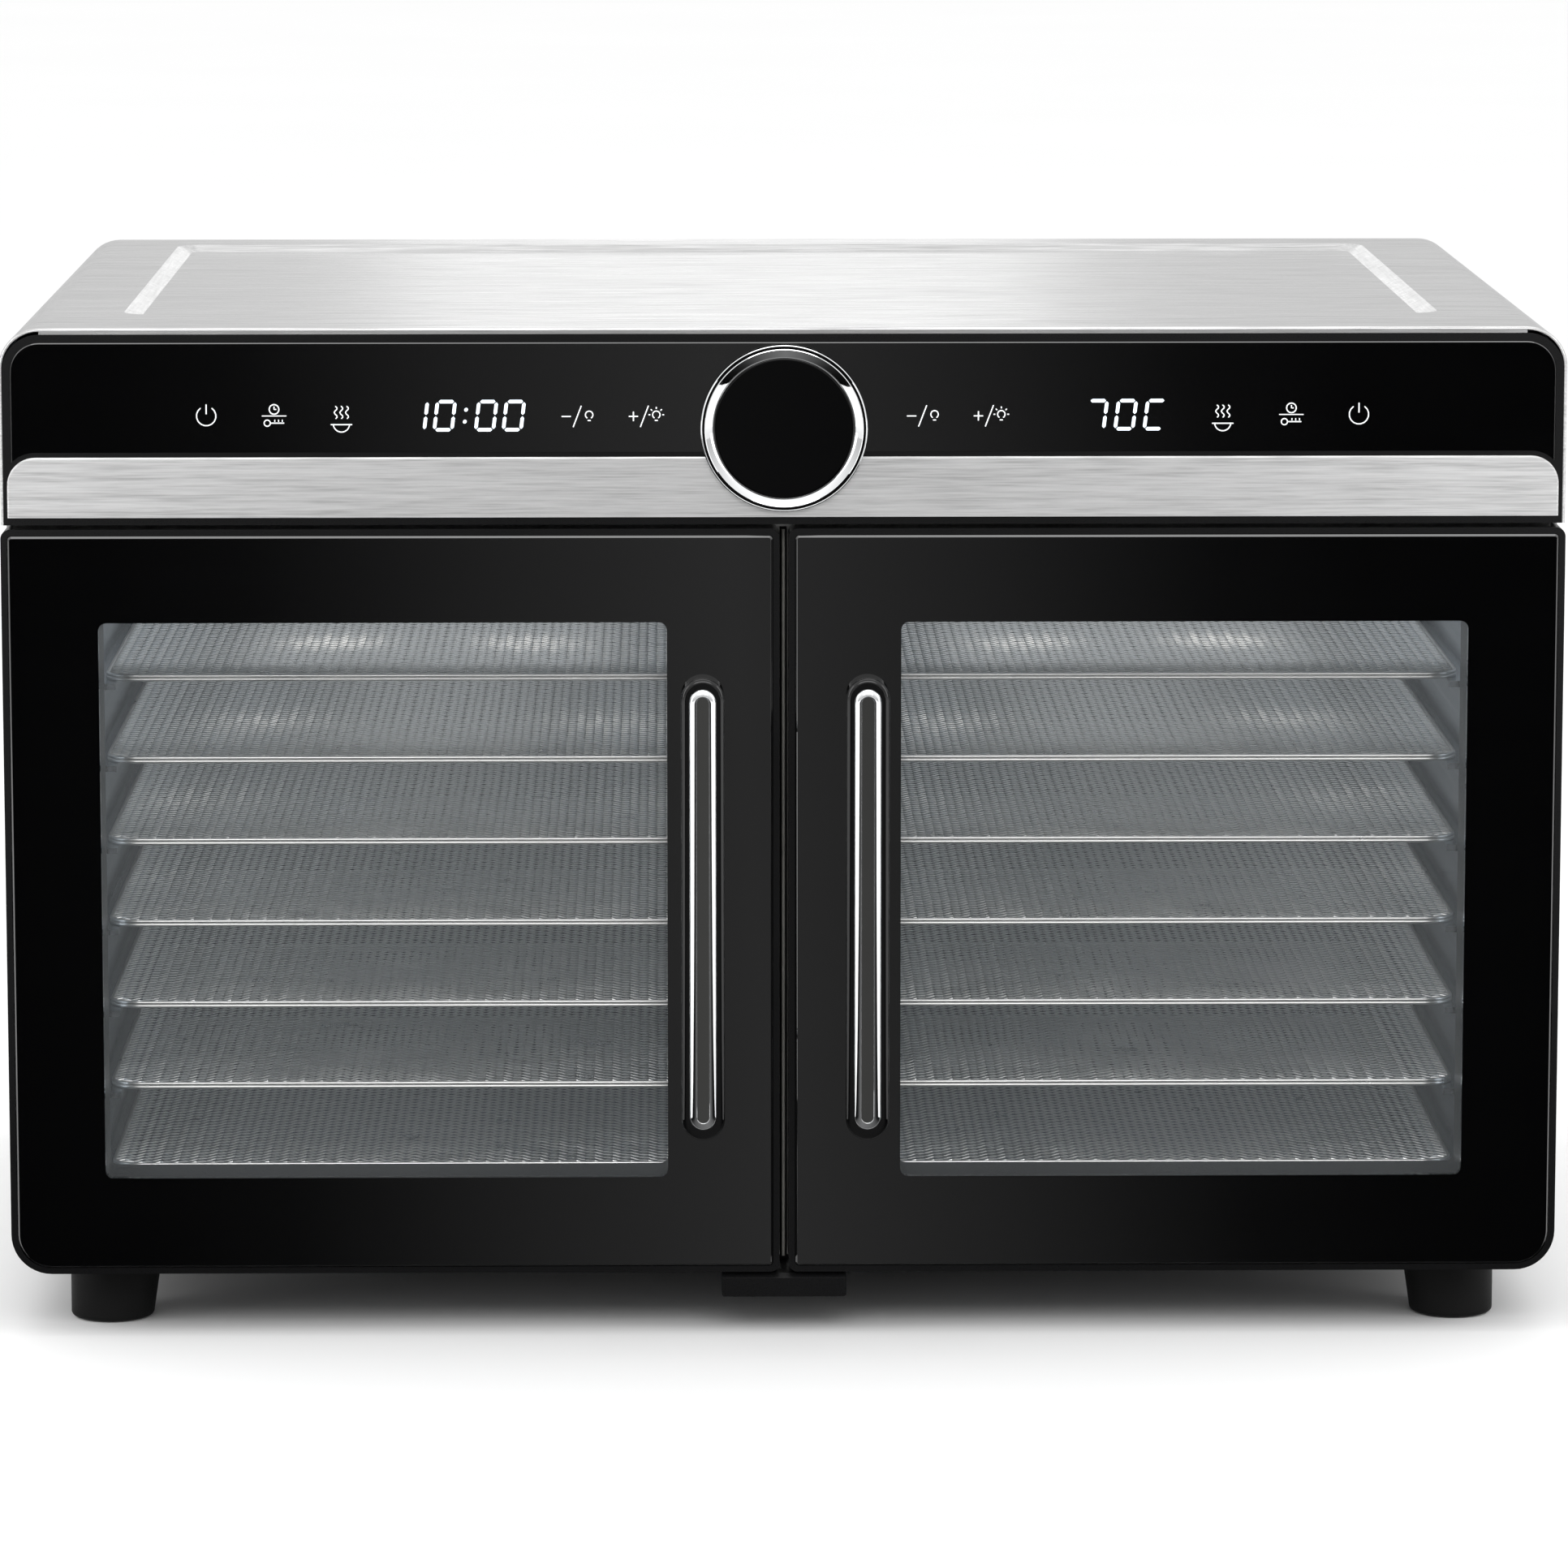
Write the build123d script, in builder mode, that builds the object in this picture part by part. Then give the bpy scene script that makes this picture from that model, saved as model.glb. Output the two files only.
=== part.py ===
from build123d import *
import os

# Twin-chamber food dehydrator.
# Millimetres. +X is the object's right seen from the front, +Y points to its back, +Z is up.
# The origin is at the middle of the footprint, on the surface that the feet stand on.

os.makedirs("parts", exist_ok=True)

# ---------------------------------------------------------------- driving dimensions
WIDTH = 500.0  # over the outer cover
BODY_DEPTH = 355.0  # from the front of the control fascia to the rear edge of the cover
HEIGHT = 327.0  # floor to the top of the cover
FRONT = -162.0  # where the fascia's front face stands, so that the whole object is centred
SHEET = 1.0  # cover, pan and chamber sheet steel
HEM_ROUND = 0.8  # on the front edge of the cover
CORNER = 13.0  # outer corner radius of the body seen from the front
FOOT_HEIGHT = 20.0

HALF = WIDTH / 2
REAR = FRONT + BODY_DEPTH
COVER_INSIDE = HALF - SHEET
COVER_UNDERSIDE = HEIGHT - SHEET

# fascia over the doors
FASCIA_BOTTOM = 264.0
FASCIA_TOP = HEIGHT - 2 * SHEET
FASCIA_WALL = 3.5
FASCIA_BORDER = 2.6
STRIP_BOTTOM = 266.4
STRIP_TOP = 285.7
STRIP_HALF = 247.7
STRIP_CORNER = 9.0
STRIP_GAP = 1.6
BADGE_Z = 295.0
BADGE_RADIUS = 26.6

# doors
DOOR_FRONT = FRONT - 2.0
DOOR_BACK = FRONT + 20.0
DOOR_BOTTOM = 20.3
DOOR_TOP = 262.8
DOOR_INNER = 1.5
DOOR_BORDER = 2.0
WINDOW_INNER = 37.5
WINDOW_OUTER = 219.2
WINDOW_BOTTOM = 51.9
WINDOW_TOP = 232.8
GLASS_THICK = 3.0
GLASS_PROUD = 0.6
GLASS_FRONT = DOOR_FRONT - GLASS_PROUD
GLASS_BACK = GLASS_FRONT + GLASS_THICK

# body front and the two chambers, as distances from the middle plane
BODY_FRONT = FRONT + 21.5
FRAME_THICK = 1.2
CHAMBER_FRONT = BODY_FRONT + FRAME_THICK
CHAMBER_INNER = 12.0
CHAMBER_OUTER = 224.0
CHAMBER_FLOOR = 36.0
CHAMBER_CEILING = 247.0
CHAMBER_REAR = FRONT + 320.0
CHAMBER_X = (CHAMBER_INNER + CHAMBER_OUTER) / 2
FAN_Z = (CHAMBER_FLOOR + CHAMBER_CEILING) / 2
GUARD_FRONT = FRONT + 293.0

# trays
TRAYS_PER_SIDE = 7
TRAY_WIDTH = 204.0
TRAY_DEPTH = 260.0
TRAY_FRONT = FRONT + 29.0
TRAY_CORNER = 10.0
TRAY_RIM = 2.4
TRAY_RIM_WIDTH = 5.0
TRAY_MESH = 0.5
FIRST_TRAY = 49.3
TRAY_PITCH = 26.9
LEDGE_REACH = 8.0
LEDGE_THICK = 2.0

# hinges
PIN_X = 242.5
PIN_Y = FRONT + 9.5
PIN_RADIUS = 2.0
PIN_CLEARANCE = 0.08
PIN_LENGTH = 18.0
HINGE_HEIGHTS = (40.5, 243.0)
TONGUE_HALF = 4.0
TONGUE_THICK = 3.0
SLOT_HEIGHT = 5.0

# handles
HANDLE_X = 26.2
HANDLE_Z = 144.0
GRIP_LENGTH = 149.0
GRIP_WIDTH = 13.8
GRIP_FRONT = FRONT - 31.0
GRIP_THICK = 10.5
TRIM_LENGTH = 142.0
TRIM_WIDTH = 8.6
TRIM_PROUD = 1.0
POST_REACH = 52.0

# fans
FAN_RADIUS = 58.0
SHAFT_RADIUS = 3.0
MOTOR_RADIUS = 29.0
MOTOR_FRONT = CHAMBER_REAR + SHEET
MOTOR_LENGTH = 24.0

# rear panel
PANEL_FRONT = REAR - 2.0
PANEL_BACK = REAR - 1.0
PAN_BOTTOM = FOOT_HEIGHT
PAN_TOP = 60.0
COVER_BOTTOM = 32.0

SIDES = (("left", -1), ("right", 1))


def facing(y):
    """Return the upright plane at depth y: its X is the object's X, its Y is height."""
    return Plane.XZ.offset(-y)


def save(piece, name):
    """Label a finished piece and write it as the node of that name."""
    piece.part.label = name
    export_step(piece.part, f"parts/{name}.step")


def block(x0, x1, y0, y1, z0, z1, mode=Mode.ADD):
    """Add or cut an upright block between two corners in the current part."""
    with BuildSketch(Plane.XY.offset(z0)) as footprint:
        with Locations(((x0 + x1) / 2, (y0 + y1) / 2)):
            Rectangle(abs(x1 - x0), y1 - y0)
    extrude(footprint.sketch, amount=z1 - z0, mode=mode)


def rectangle_between(x0, x1, z0, z1, mode=Mode.ADD):
    """Draw a rectangle between two corners in the current sketch."""
    with Locations(((x0 + x1) / 2, (z0 + z1) / 2)):
        Rectangle(abs(x1 - x0), z1 - z0, mode=mode)


def rounded_between(x0, x1, z0, z1, radius, mode=Mode.ADD):
    """Draw a rounded rectangle between two corners in the current sketch."""
    with Locations(((x0 + x1) / 2, (z0 + z1) / 2)):
        RectangleRounded(abs(x1 - x0), z1 - z0, radius, mode=mode)


def arch(half, bottom, top, radius, mode=Mode.ADD):
    """Draw a rectangle about the middle plane with its two top corners rounded."""
    with BuildSketch(mode=Mode.PRIVATE) as outline:
        rectangle_between(-half, half, bottom, top)
        fillet(outline.vertices().group_by(Axis.Y)[-1], radius)
    add(outline.sketch, mode=mode)


def trough(half, bottom, top, radius, mode=Mode.ADD):
    """Draw a rectangle about the middle plane with its two bottom corners rounded."""
    with BuildSketch(mode=Mode.PRIVATE) as outline:
        rectangle_between(-half, half, bottom, top)
        fillet(outline.vertices().group_by(Axis.Y)[0], radius)
    add(outline.sketch, mode=mode)


# ---------------------------------------------------------------- body shells
def outer_cover():
    """Folded cover: top and two sides, sunken top panel, front hem and rear flange."""
    recess_y = FRONT + 190.5
    flange = 10.0
    with BuildPart() as cover:
        with BuildSketch(facing(FRONT)):
            arch(HALF, FASCIA_BOTTOM, HEIGHT, CORNER)
            arch(COVER_INSIDE, FASCIA_BOTTOM, COVER_UNDERSIDE, CORNER - SHEET, Mode.SUBTRACT)
        extrude(amount=-BODY_DEPTH)
        with BuildSketch(facing(BODY_FRONT)):
            rectangle_between(-HALF, -COVER_INSIDE, COVER_BOTTOM, FASCIA_BOTTOM)
            rectangle_between(COVER_INSIDE, HALF, COVER_BOTTOM, FASCIA_BOTTOM)
        extrude(amount=BODY_FRONT - REAR)
        # hem folded back under the front edge
        hem_half = HALF - CORNER
        block(-hem_half, hem_half, FRONT, FRONT + 8, FASCIA_TOP, COVER_UNDERSIDE)
        front_edges = cover.edges().filter_by_position(Axis.Y, FRONT - 0.01, FRONT + 0.01)
        fillet(front_edges.sort_by(Axis.Z)[-1], HEM_ROUND)
        # flange that carries the rear panel
        with BuildSketch(facing(PANEL_FRONT - SHEET)):
            arch(COVER_INSIDE, PAN_TOP + 1, COVER_UNDERSIDE, CORNER - SHEET)
            arch(COVER_INSIDE - flange, PAN_TOP, COVER_UNDERSIDE - flange, 3, Mode.SUBTRACT)
            with Locations(*screw_places()):
                Circle(1.5, mode=Mode.SUBTRACT)
        extrude(amount=-SHEET)
        # sunken panel in the top
        with BuildSketch(Plane.XY.offset(COVER_UNDERSIDE)):
            with Locations((0, recess_y)):
                RectangleRounded(429, 284, 10.5)
        with BuildSketch(Plane.XY.offset(COVER_UNDERSIDE - 2.2)):
            with Locations((0, recess_y)):
                RectangleRounded(419, 274, 5.5)
        loft()
        with BuildSketch(Plane.XY.offset(HEIGHT)):
            with Locations((0, recess_y)):
                RectangleRounded(428, 283, 10)
        with BuildSketch(Plane.XY.offset(HEIGHT - 2.2)):
            with Locations((0, recess_y)):
                RectangleRounded(418, 273, 5)
        loft(mode=Mode.SUBTRACT)
    save(cover, "outer_cover")


def screw_places():
    """Return where the rear screws sit, as pairs of across and height."""
    places = []
    for side in (-1, 1):
        for height in (75.0, 185.0, 290.0):
            places.append((side * (COVER_INSIDE - 5), height))
    for across in (-160.0, 0.0, 160.0):
        places.append((across, COVER_UNDERSIDE - 5))
        places.append((across, PAN_BOTTOM + 6))
    return places


def base_pan():
    """Folded bottom tray of the body, with a rear flange and cooling slots."""
    inside = COVER_INSIDE - SHEET
    with BuildPart() as pan:
        with BuildSketch(facing(BODY_FRONT)):
            trough(COVER_INSIDE, PAN_BOTTOM, PAN_TOP, CORNER - SHEET)
            trough(inside, PAN_BOTTOM + SHEET, PAN_TOP + 1, CORNER - 2 * SHEET, Mode.SUBTRACT)
        extrude(amount=BODY_FRONT - PANEL_FRONT)
        with BuildSketch(facing(PANEL_FRONT - SHEET)):
            rectangle_between(-200, 200, PAN_BOTTOM + SHEET, PAN_BOTTOM + 12)
            with Locations(*[place for place in screw_places() if place[1] < 30]):
                Circle(1.5, mode=Mode.SUBTRACT)
        extrude(amount=-SHEET)
        with BuildSketch(Plane.XY.offset(PAN_BOTTOM)):
            with GridLocations(14, 60, 20, 3):
                SlotOverall(40, 4, rotation=90)
        extrude(amount=SHEET, mode=Mode.SUBTRACT)
    save(pan, "base_pan")


def rear_panel():
    """Rear sheet with air slots behind each motor and an opening for the power inlet."""
    with BuildPart() as panel:
        with BuildSketch(facing(PANEL_FRONT)):
            arch(COVER_INSIDE, PAN_BOTTOM + CORNER - SHEET, COVER_UNDERSIDE, CORNER - SHEET)
            trough(COVER_INSIDE, PAN_BOTTOM, PAN_TOP, CORNER - SHEET)
            for side in (-1, 1):
                with Locations((side * CHAMBER_X, FAN_Z + 20)):
                    with GridLocations(9, 34, 9, 4):
                        SlotOverall(26, 4, rotation=90, mode=Mode.SUBTRACT)
            with Locations((0, 285)):
                with GridLocations(9, 1, 30, 1):
                    SlotOverall(22, 4, rotation=90, mode=Mode.SUBTRACT)
            rectangle_between(
                INLET_X - 14, INLET_X + 14, INLET_Z - 10, INLET_Z + 10, Mode.SUBTRACT
            )
            with Locations(*screw_places()):
                Circle(1.5, mode=Mode.SUBTRACT)
        extrude(amount=PANEL_FRONT - PANEL_BACK)
    save(panel, "rear_panel")


def face_frame():
    """Stainless front bulkhead around both chamber mouths."""
    half = COVER_INSIDE - 1.0
    with BuildPart() as frame:
        with BuildSketch(facing(BODY_FRONT)):
            arch(half, 100, FASCIA_TOP, CORNER - 2 * SHEET)
            trough(half, PAN_BOTTOM + SHEET, 120, CORNER - 2 * SHEET)
            for side in (-1, 1):
                rounded_between(
                    side * CHAMBER_INNER, side * CHAMBER_OUTER, CHAMBER_FLOOR, CHAMBER_CEILING, 2,
                    Mode.SUBTRACT,
                )
                for height in HINGE_HEIGHTS:
                    with Locations((side * PIN_X, height)):
                        Rectangle(9, TONGUE_THICK + 1, mode=Mode.SUBTRACT)
                for across, height in magnet_places(side):
                    with Locations((across, height)):
                        Rectangle(MAGNET_WIDE, MAGNET_HIGH, mode=Mode.SUBTRACT)
                with Locations((side * 200, 300)):
                    Circle(6, mode=Mode.SUBTRACT)
        extrude(amount=-FRAME_THICK)
    save(frame, "face_frame")


# ---------------------------------------------------------------- control fascia
def strip_outline(margin, bottom):
    """Draw the outline of the brushed strip, grown by a margin on its top and sides."""
    arch(STRIP_HALF + margin, bottom, STRIP_TOP + margin, STRIP_CORNER + margin)


def control_outline():
    """Return the outline of the control glass: the fascia's top region above the strip."""
    half = HALF - SHEET - FASCIA_BORDER
    with BuildSketch() as outline:
        arch(half, FASCIA_BOTTOM + 4, FASCIA_TOP - FASCIA_BORDER, CORNER - SHEET - FASCIA_BORDER)
        with BuildSketch(mode=Mode.PRIVATE) as below:
            strip_outline(STRIP_GAP, FASCIA_BOTTOM)
        add(below.sketch, mode=Mode.SUBTRACT)
        with Locations((0, BADGE_Z)):
            Circle(BADGE_RADIUS + 0.2, mode=Mode.SUBTRACT)
    return outline.sketch


def fascia():
    """Black plastic housing over the doors, open at the back, with seats in its face."""
    glass_seat = 2.0
    strip_seat = 0.8
    with BuildPart() as body:
        with BuildSketch(facing(FRONT)):
            arch(COVER_INSIDE, FASCIA_BOTTOM, FASCIA_TOP, CORNER - SHEET)
        extrude(amount=FRONT - BODY_FRONT)
        with BuildSketch(facing(FRONT + FASCIA_WALL)):
            arch(COVER_INSIDE - 2.5, FASCIA_BOTTOM + 2.5, FASCIA_TOP - 2.5, CORNER - SHEET - 2.5)
        extrude(amount=FRONT + FASCIA_WALL - BODY_FRONT, mode=Mode.SUBTRACT)
        with BuildSketch(facing(FRONT)):
            add(control_outline())
        extrude(amount=-glass_seat, mode=Mode.SUBTRACT)
        with BuildSketch(facing(FRONT)):
            strip_outline(0, STRIP_BOTTOM)
        extrude(amount=-strip_seat, mode=Mode.SUBTRACT)
        with BuildSketch(facing(FRONT)):
            with Locations((0, BADGE_Z)):
                Circle(BADGE_RADIUS + 0.2)
        extrude(amount=-glass_seat, mode=Mode.SUBTRACT)
        # windows for the two number displays
        with BuildSketch(facing(FRONT)):
            for across in DISPLAY_PLACES:
                with Locations((across, DISPLAY_Z)):
                    Rectangle(DISPLAY_WIDE - 4, DISPLAY_HIGH - 4)
        extrude(amount=-FASCIA_WALL, mode=Mode.SUBTRACT)
    save(body, "fascia")


def control_glass():
    """Black glass touch panel of the fascia, bevelled along its top edge."""
    with BuildPart() as glass:
        with BuildSketch(facing(FRONT - 0.3)):
            add(control_outline())
        extrude(amount=-2.3)
        top_edge = glass.faces().sort_by(Axis.Y)[0].edges().sort_by(Axis.Z)[-1]
        chamfer(top_edge, 0.4)
    save(glass, "control_glass")


def trim_strip():
    """Brushed metal strip under the control glass, cut round for the badge."""
    with BuildPart() as strip:
        with BuildSketch(facing(FRONT - 0.7)) as outline:
            strip_outline(0, STRIP_BOTTOM)
            with Locations((0, BADGE_Z)):
                Circle(BADGE_RADIUS + 0.2, mode=Mode.SUBTRACT)
        extrude(amount=-1.5)
        front_edges = strip.faces().sort_by(Axis.Y)[0].edges()
        chamfer(front_edges.filter_by(lambda edge: abs(edge.center().X) > BADGE_RADIUS), 0.5)
    save(strip, "trim_strip")


def badge():
    """Plain round badge: a chrome ring with a groove, and a glossy disc inside it."""
    disc_radius = 22.5
    proud = 3.5
    with BuildPart() as ring:
        with BuildSketch(facing(FRONT - proud)):
            with Locations((0, BADGE_Z)):
                Circle(BADGE_RADIUS)
                Circle(disc_radius, mode=Mode.SUBTRACT)
        extrude(amount=-proud - 2.0)
        fillet(ring.faces().sort_by(Axis.Y)[0].edges().sort_by(SortBy.RADIUS)[-1], 1.0)
        with BuildSketch(facing(FRONT - proud)):
            with Locations((0, BADGE_Z)):
                Circle(25.5)
                Circle(25.0, mode=Mode.SUBTRACT)
        extrude(amount=-0.8, mode=Mode.SUBTRACT)
    save(ring, "badge_ring")
    with BuildPart() as disc:
        with BuildSketch(facing(FRONT - proud + 0.8)):
            with Locations((0, BADGE_Z)):
                Circle(disc_radius)
        extrude(amount=0.8 - proud - 2.0)
        fillet(disc.faces().sort_by(Axis.Y)[0].edges(), 0.6)
    save(disc, "badge_disc")


# ---------------------------------------------------------------- electronics
DISPLAY_PLACES = (-101.0, 108.0)
DISPLAY_Z = 299.0
DISPLAY_WIDE = 44.0
DISPLAY_HIGH = 20.0


def control_board():
    """Circuit board behind the control glass with its two number displays."""
    board_front = FRONT + 9.0
    with BuildPart() as board:
        block(-230, 230, board_front, board_front + 1.6, 284, 314)
        for across in DISPLAY_PLACES:
            half = DISPLAY_WIDE / 2
            low = DISPLAY_Z - DISPLAY_HIGH / 2
            block(across - half, across + half, FRONT + 4, board_front, low, low + DISPLAY_HIGH)
        block(-20, 20, board_front + 1.6, board_front + 4, 290, 308)
        for across in (-180, 180):
            block(across - 8, across + 8, board_front + 1.6, board_front + 8, 292, 302)
    save(board, "control_board")


def power_board():
    """Mains board above the chambers on four spacers: transformer, relays, capacitors."""
    board_z = CHAMBER_CEILING + SHEET + 8
    half_x = 70.0
    y0 = FRONT + 190
    y1 = FRONT + 290
    with BuildPart() as board:
        block(-half_x, half_x, y0, y1, board_z, board_z + 1.6)
        with BuildSketch(Plane.XY.offset(CHAMBER_CEILING + SHEET)):
            with Locations((0, (y0 + y1) / 2)):
                with GridLocations(2 * half_x - 12, y1 - y0 - 12, 2, 2):
                    Circle(3)
        extrude(amount=board_z - CHAMBER_CEILING - SHEET)
        block(-60, -20, y0 + 10, y0 + 44, board_z + 1.6, board_z + 32)
        for across in (0, 22, 44):
            block(across, across + 16, y0 + 12, y0 + 40, board_z + 1.6, board_z + 18)
        with BuildSketch(Plane.XY.offset(board_z + 1.6)):
            with Locations((-40, y1 - 26), (-16, y1 - 26)):
                Circle(9)
        extrude(amount=28)
    save(board, "power_board")


INLET_X = 190.0
INLET_Z = 62.0


def power_inlet():
    """Appliance inlet in the rear panel: flanged shell with a deep socket and three pins."""
    back = REAR + 1.0
    depth = 22.0
    pocket = 17.0
    with BuildPart() as inlet:
        with BuildSketch(facing(PANEL_BACK)):
            with Locations((INLET_X, INLET_Z)):
                RectangleRounded(42, 26, 4)
        extrude(amount=PANEL_BACK - back)
        with BuildSketch(facing(back)):
            with Locations((INLET_X, INLET_Z)):
                Rectangle(28, 20)
        extrude(amount=depth)
        with BuildSketch(facing(back)):
            with Locations((INLET_X, INLET_Z)):
                Rectangle(24, 16.5)
        extrude(amount=pocket, mode=Mode.SUBTRACT)
        with BuildSketch(facing(back - pocket)):
            with Locations((INLET_X - 7, INLET_Z), (INLET_X, INLET_Z + 4), (INLET_X + 7, INLET_Z)):
                Rectangle(2, 4)
        extrude(amount=-9)
    save(inlet, "power_inlet")


# ---------------------------------------------------------------- chambers
def chamber(side_name, side):
    """Open-fronted stainless box of one drying chamber."""
    inner = side * CHAMBER_INNER
    outer = side * CHAMBER_OUTER
    with BuildPart() as box:
        block(
            inner - side * SHEET, outer + side * SHEET, CHAMBER_FRONT, CHAMBER_REAR + SHEET,
            CHAMBER_FLOOR - SHEET, CHAMBER_CEILING + SHEET,
        )
        block(
            inner, outer, CHAMBER_FRONT, CHAMBER_REAR,
            CHAMBER_FLOOR, CHAMBER_CEILING, Mode.SUBTRACT,
        )
        with BuildSketch(facing(CHAMBER_REAR)):
            with Locations((side * CHAMBER_X, FAN_Z)):
                Circle(SHAFT_RADIUS + 2)
            with Locations((side * CHAMBER_X, CHAMBER_FLOOR + 18)):
                with GridLocations(40, 1, 2, 1):
                    Circle(HEATER_TUBE)
        extrude(amount=-SHEET, mode=Mode.SUBTRACT)
        with BuildSketch(Plane.XY.offset(CHAMBER_CEILING)):
            with Locations((side * CHAMBER_X, LAMP_Y)):
                Circle(LAMP_RADIUS)
        extrude(amount=SHEET, mode=Mode.SUBTRACT)
    save(box, f"{side_name}_chamber")


LAMP_Y = FRONT + 110.0
LAMP_RADIUS = 15.0
HEATER_TUBE = 3.2


def chamber_lamps():
    """Two round lamps, one in each chamber ceiling, with a holder above the sheet."""
    with BuildPart() as lamps:
        for side in (-1, 1):
            with BuildSketch(Plane.XY.offset(CHAMBER_CEILING - 3)):
                with Locations((side * CHAMBER_X, LAMP_Y)):
                    Circle(LAMP_RADIUS)
            extrude(amount=3 + SHEET)
            with BuildSketch(Plane.XY.offset(CHAMBER_CEILING + SHEET)):
                with Locations((side * CHAMBER_X, LAMP_Y)):
                    Circle(LAMP_RADIUS + 3)
            extrude(amount=14)
    save(lamps, "chamber_lamps")


def tray_heights():
    """Return the height of each tray's rim centre, lowest first."""
    return [FIRST_TRAY + step * TRAY_PITCH for step in range(TRAYS_PER_SIDE)]


def guides(side_name, side):
    """The two pressed rack plates of a chamber, with a ledge under each tray edge."""
    plate = 1.0
    front = CHAMBER_FRONT + 2
    back = GUARD_FRONT - 2
    with BuildPart() as racks:
        for wall, inward in ((side * CHAMBER_INNER, side), (side * CHAMBER_OUTER, -side)):
            block(
                wall, wall + inward * plate, front, back, CHAMBER_FLOOR + 2, CHAMBER_CEILING - 2
            )
            for height in tray_heights():
                top = height - TRAY_RIM / 2
                block(
                    wall, wall + inward * LEDGE_REACH, front, back, top - LEDGE_THICK, top
                )
    save(racks, f"{side_name}_guides")


def fan_guard(side_name, side):
    """Slotted inner rear wall in front of the fan, standing on four spacers."""
    half_wide = (CHAMBER_OUTER - CHAMBER_INNER) / 2 - 2
    half_high = (CHAMBER_CEILING - CHAMBER_FLOOR) / 2 - 2
    centre_x = side * CHAMBER_X
    with BuildPart() as guard:
        with BuildSketch(facing(GUARD_FRONT)):
            with Locations((centre_x, FAN_Z)):
                RectangleRounded(2 * half_wide, 2 * half_high, 4)
                for ring, count in ((14, 6), (27, 12), (40, 18), (53, 24)):
                    with PolarLocations(ring, count):
                        SlotOverall(9.5, 4.2, mode=Mode.SUBTRACT)
                for across in (-90, 90):
                    with Locations((across, 0)):
                        with GridLocations(1, 12, 1, 13):
                            SlotOverall(18, 4.5, mode=Mode.SUBTRACT)
        extrude(amount=-SHEET)
        with BuildSketch(facing(GUARD_FRONT + SHEET)):
            with Locations((centre_x, FAN_Z)):
                with GridLocations(2 * half_wide - 50, 2 * half_high - 12, 2, 2):
                    Circle(4)
        extrude(amount=GUARD_FRONT + SHEET - CHAMBER_REAR)
    save(guard, f"{side_name}_fan_guard")


def heater(side_name, side):
    """Round tubular heater about the fan, with its two ends through the rear wall."""
    ring = 76.0
    ring_y = FRONT + 306.0
    centre_x = side * CHAMBER_X
    lead_z = CHAMBER_FLOOR + 18
    lead_x = 20.0
    with BuildPart() as element:
        with BuildSketch(Plane.XY.offset(FAN_Z)):
            with Locations((centre_x + ring, ring_y)):
                Circle(HEATER_TUBE)
        revolve(axis=Axis((centre_x, 0, FAN_Z), (0, 1, 0)), revolution_arc=360)
        for across in (centre_x - lead_x, centre_x + lead_x):
            block(across - 5, across + 5, ring_y - 2, ring_y + 3, lead_z - 4, FAN_Z - ring + 9)
            with BuildSketch(facing(ring_y)):
                with Locations((across, lead_z)):
                    Circle(HEATER_TUBE)
            extrude(amount=ring_y - CHAMBER_REAR - 14)
    save(element, f"{side_name}_heater")


# ---------------------------------------------------------------- fans and motors
def motor(side_name, side):
    """Shaded-pole style fan motor behind the chamber, bored for its shaft."""
    centre = (side * CHAMBER_X, FAN_Z)
    with BuildPart() as can:
        with BuildSketch(facing(MOTOR_FRONT)):
            with Locations(centre):
                RectangleRounded(76, 70, 6)
        extrude(amount=-2)
        with BuildSketch(facing(MOTOR_FRONT + 2)):
            with Locations(centre):
                Circle(MOTOR_RADIUS)
        extrude(amount=2 - MOTOR_LENGTH)
        fillet(can.edges().filter_by(GeomType.CIRCLE).sort_by(Axis.Y)[-1], 3)
        with BuildSketch(facing(MOTOR_FRONT)):
            with Locations(centre):
                Circle(SHAFT_RADIUS + PIN_CLEARANCE)
        extrude(amount=-18, mode=Mode.SUBTRACT)
    save(can, f"{side_name}_motor")


def fan(side_name, side):
    """Fan wheel with curved blades on a backing disc, and the shaft that drives it."""
    centre_x = side * CHAMBER_X
    wheel_back = FRONT + 316.0
    wheel_front = FRONT + 299.0
    blades = 10
    with BuildSketch() as blade:
        with BuildLine():
            offset(ThreePointArc((9, 0), (34, 7), (FAN_RADIUS - 1, 0)), 0.7)
        make_face()
    with BuildPart() as wheel:
        with BuildSketch(facing(wheel_back - 1.5)):
            with Locations((centre_x, FAN_Z)):
                Circle(FAN_RADIUS)
        extrude(amount=-1.5)
        with BuildSketch(facing(wheel_front + 3)):
            with Locations((centre_x, FAN_Z)):
                Circle(10)
        extrude(amount=wheel_front + 3 - wheel_back + 1.5)
        with BuildSketch(facing(wheel_front)):
            with Locations((centre_x, FAN_Z)):
                with PolarLocations(0, blades):
                    add(blade.sketch)
        extrude(amount=wheel_front - wheel_back + 1.5)
        with BuildSketch(facing(wheel_front)):
            with Locations((centre_x, FAN_Z)):
                Circle(SHAFT_RADIUS)
        extrude(amount=wheel_front - wheel_back, mode=Mode.SUBTRACT)
    save(wheel, f"{side_name}_fan_wheel")
    with BuildPart() as shaft:
        with BuildSketch(facing(wheel_front + 3)):
            with Locations((centre_x, FAN_Z)):
                Circle(SHAFT_RADIUS)
        extrude(amount=wheel_front + 3 - MOTOR_FRONT - 16)
    save(shaft, f"{side_name}_fan_shaft")


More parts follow.
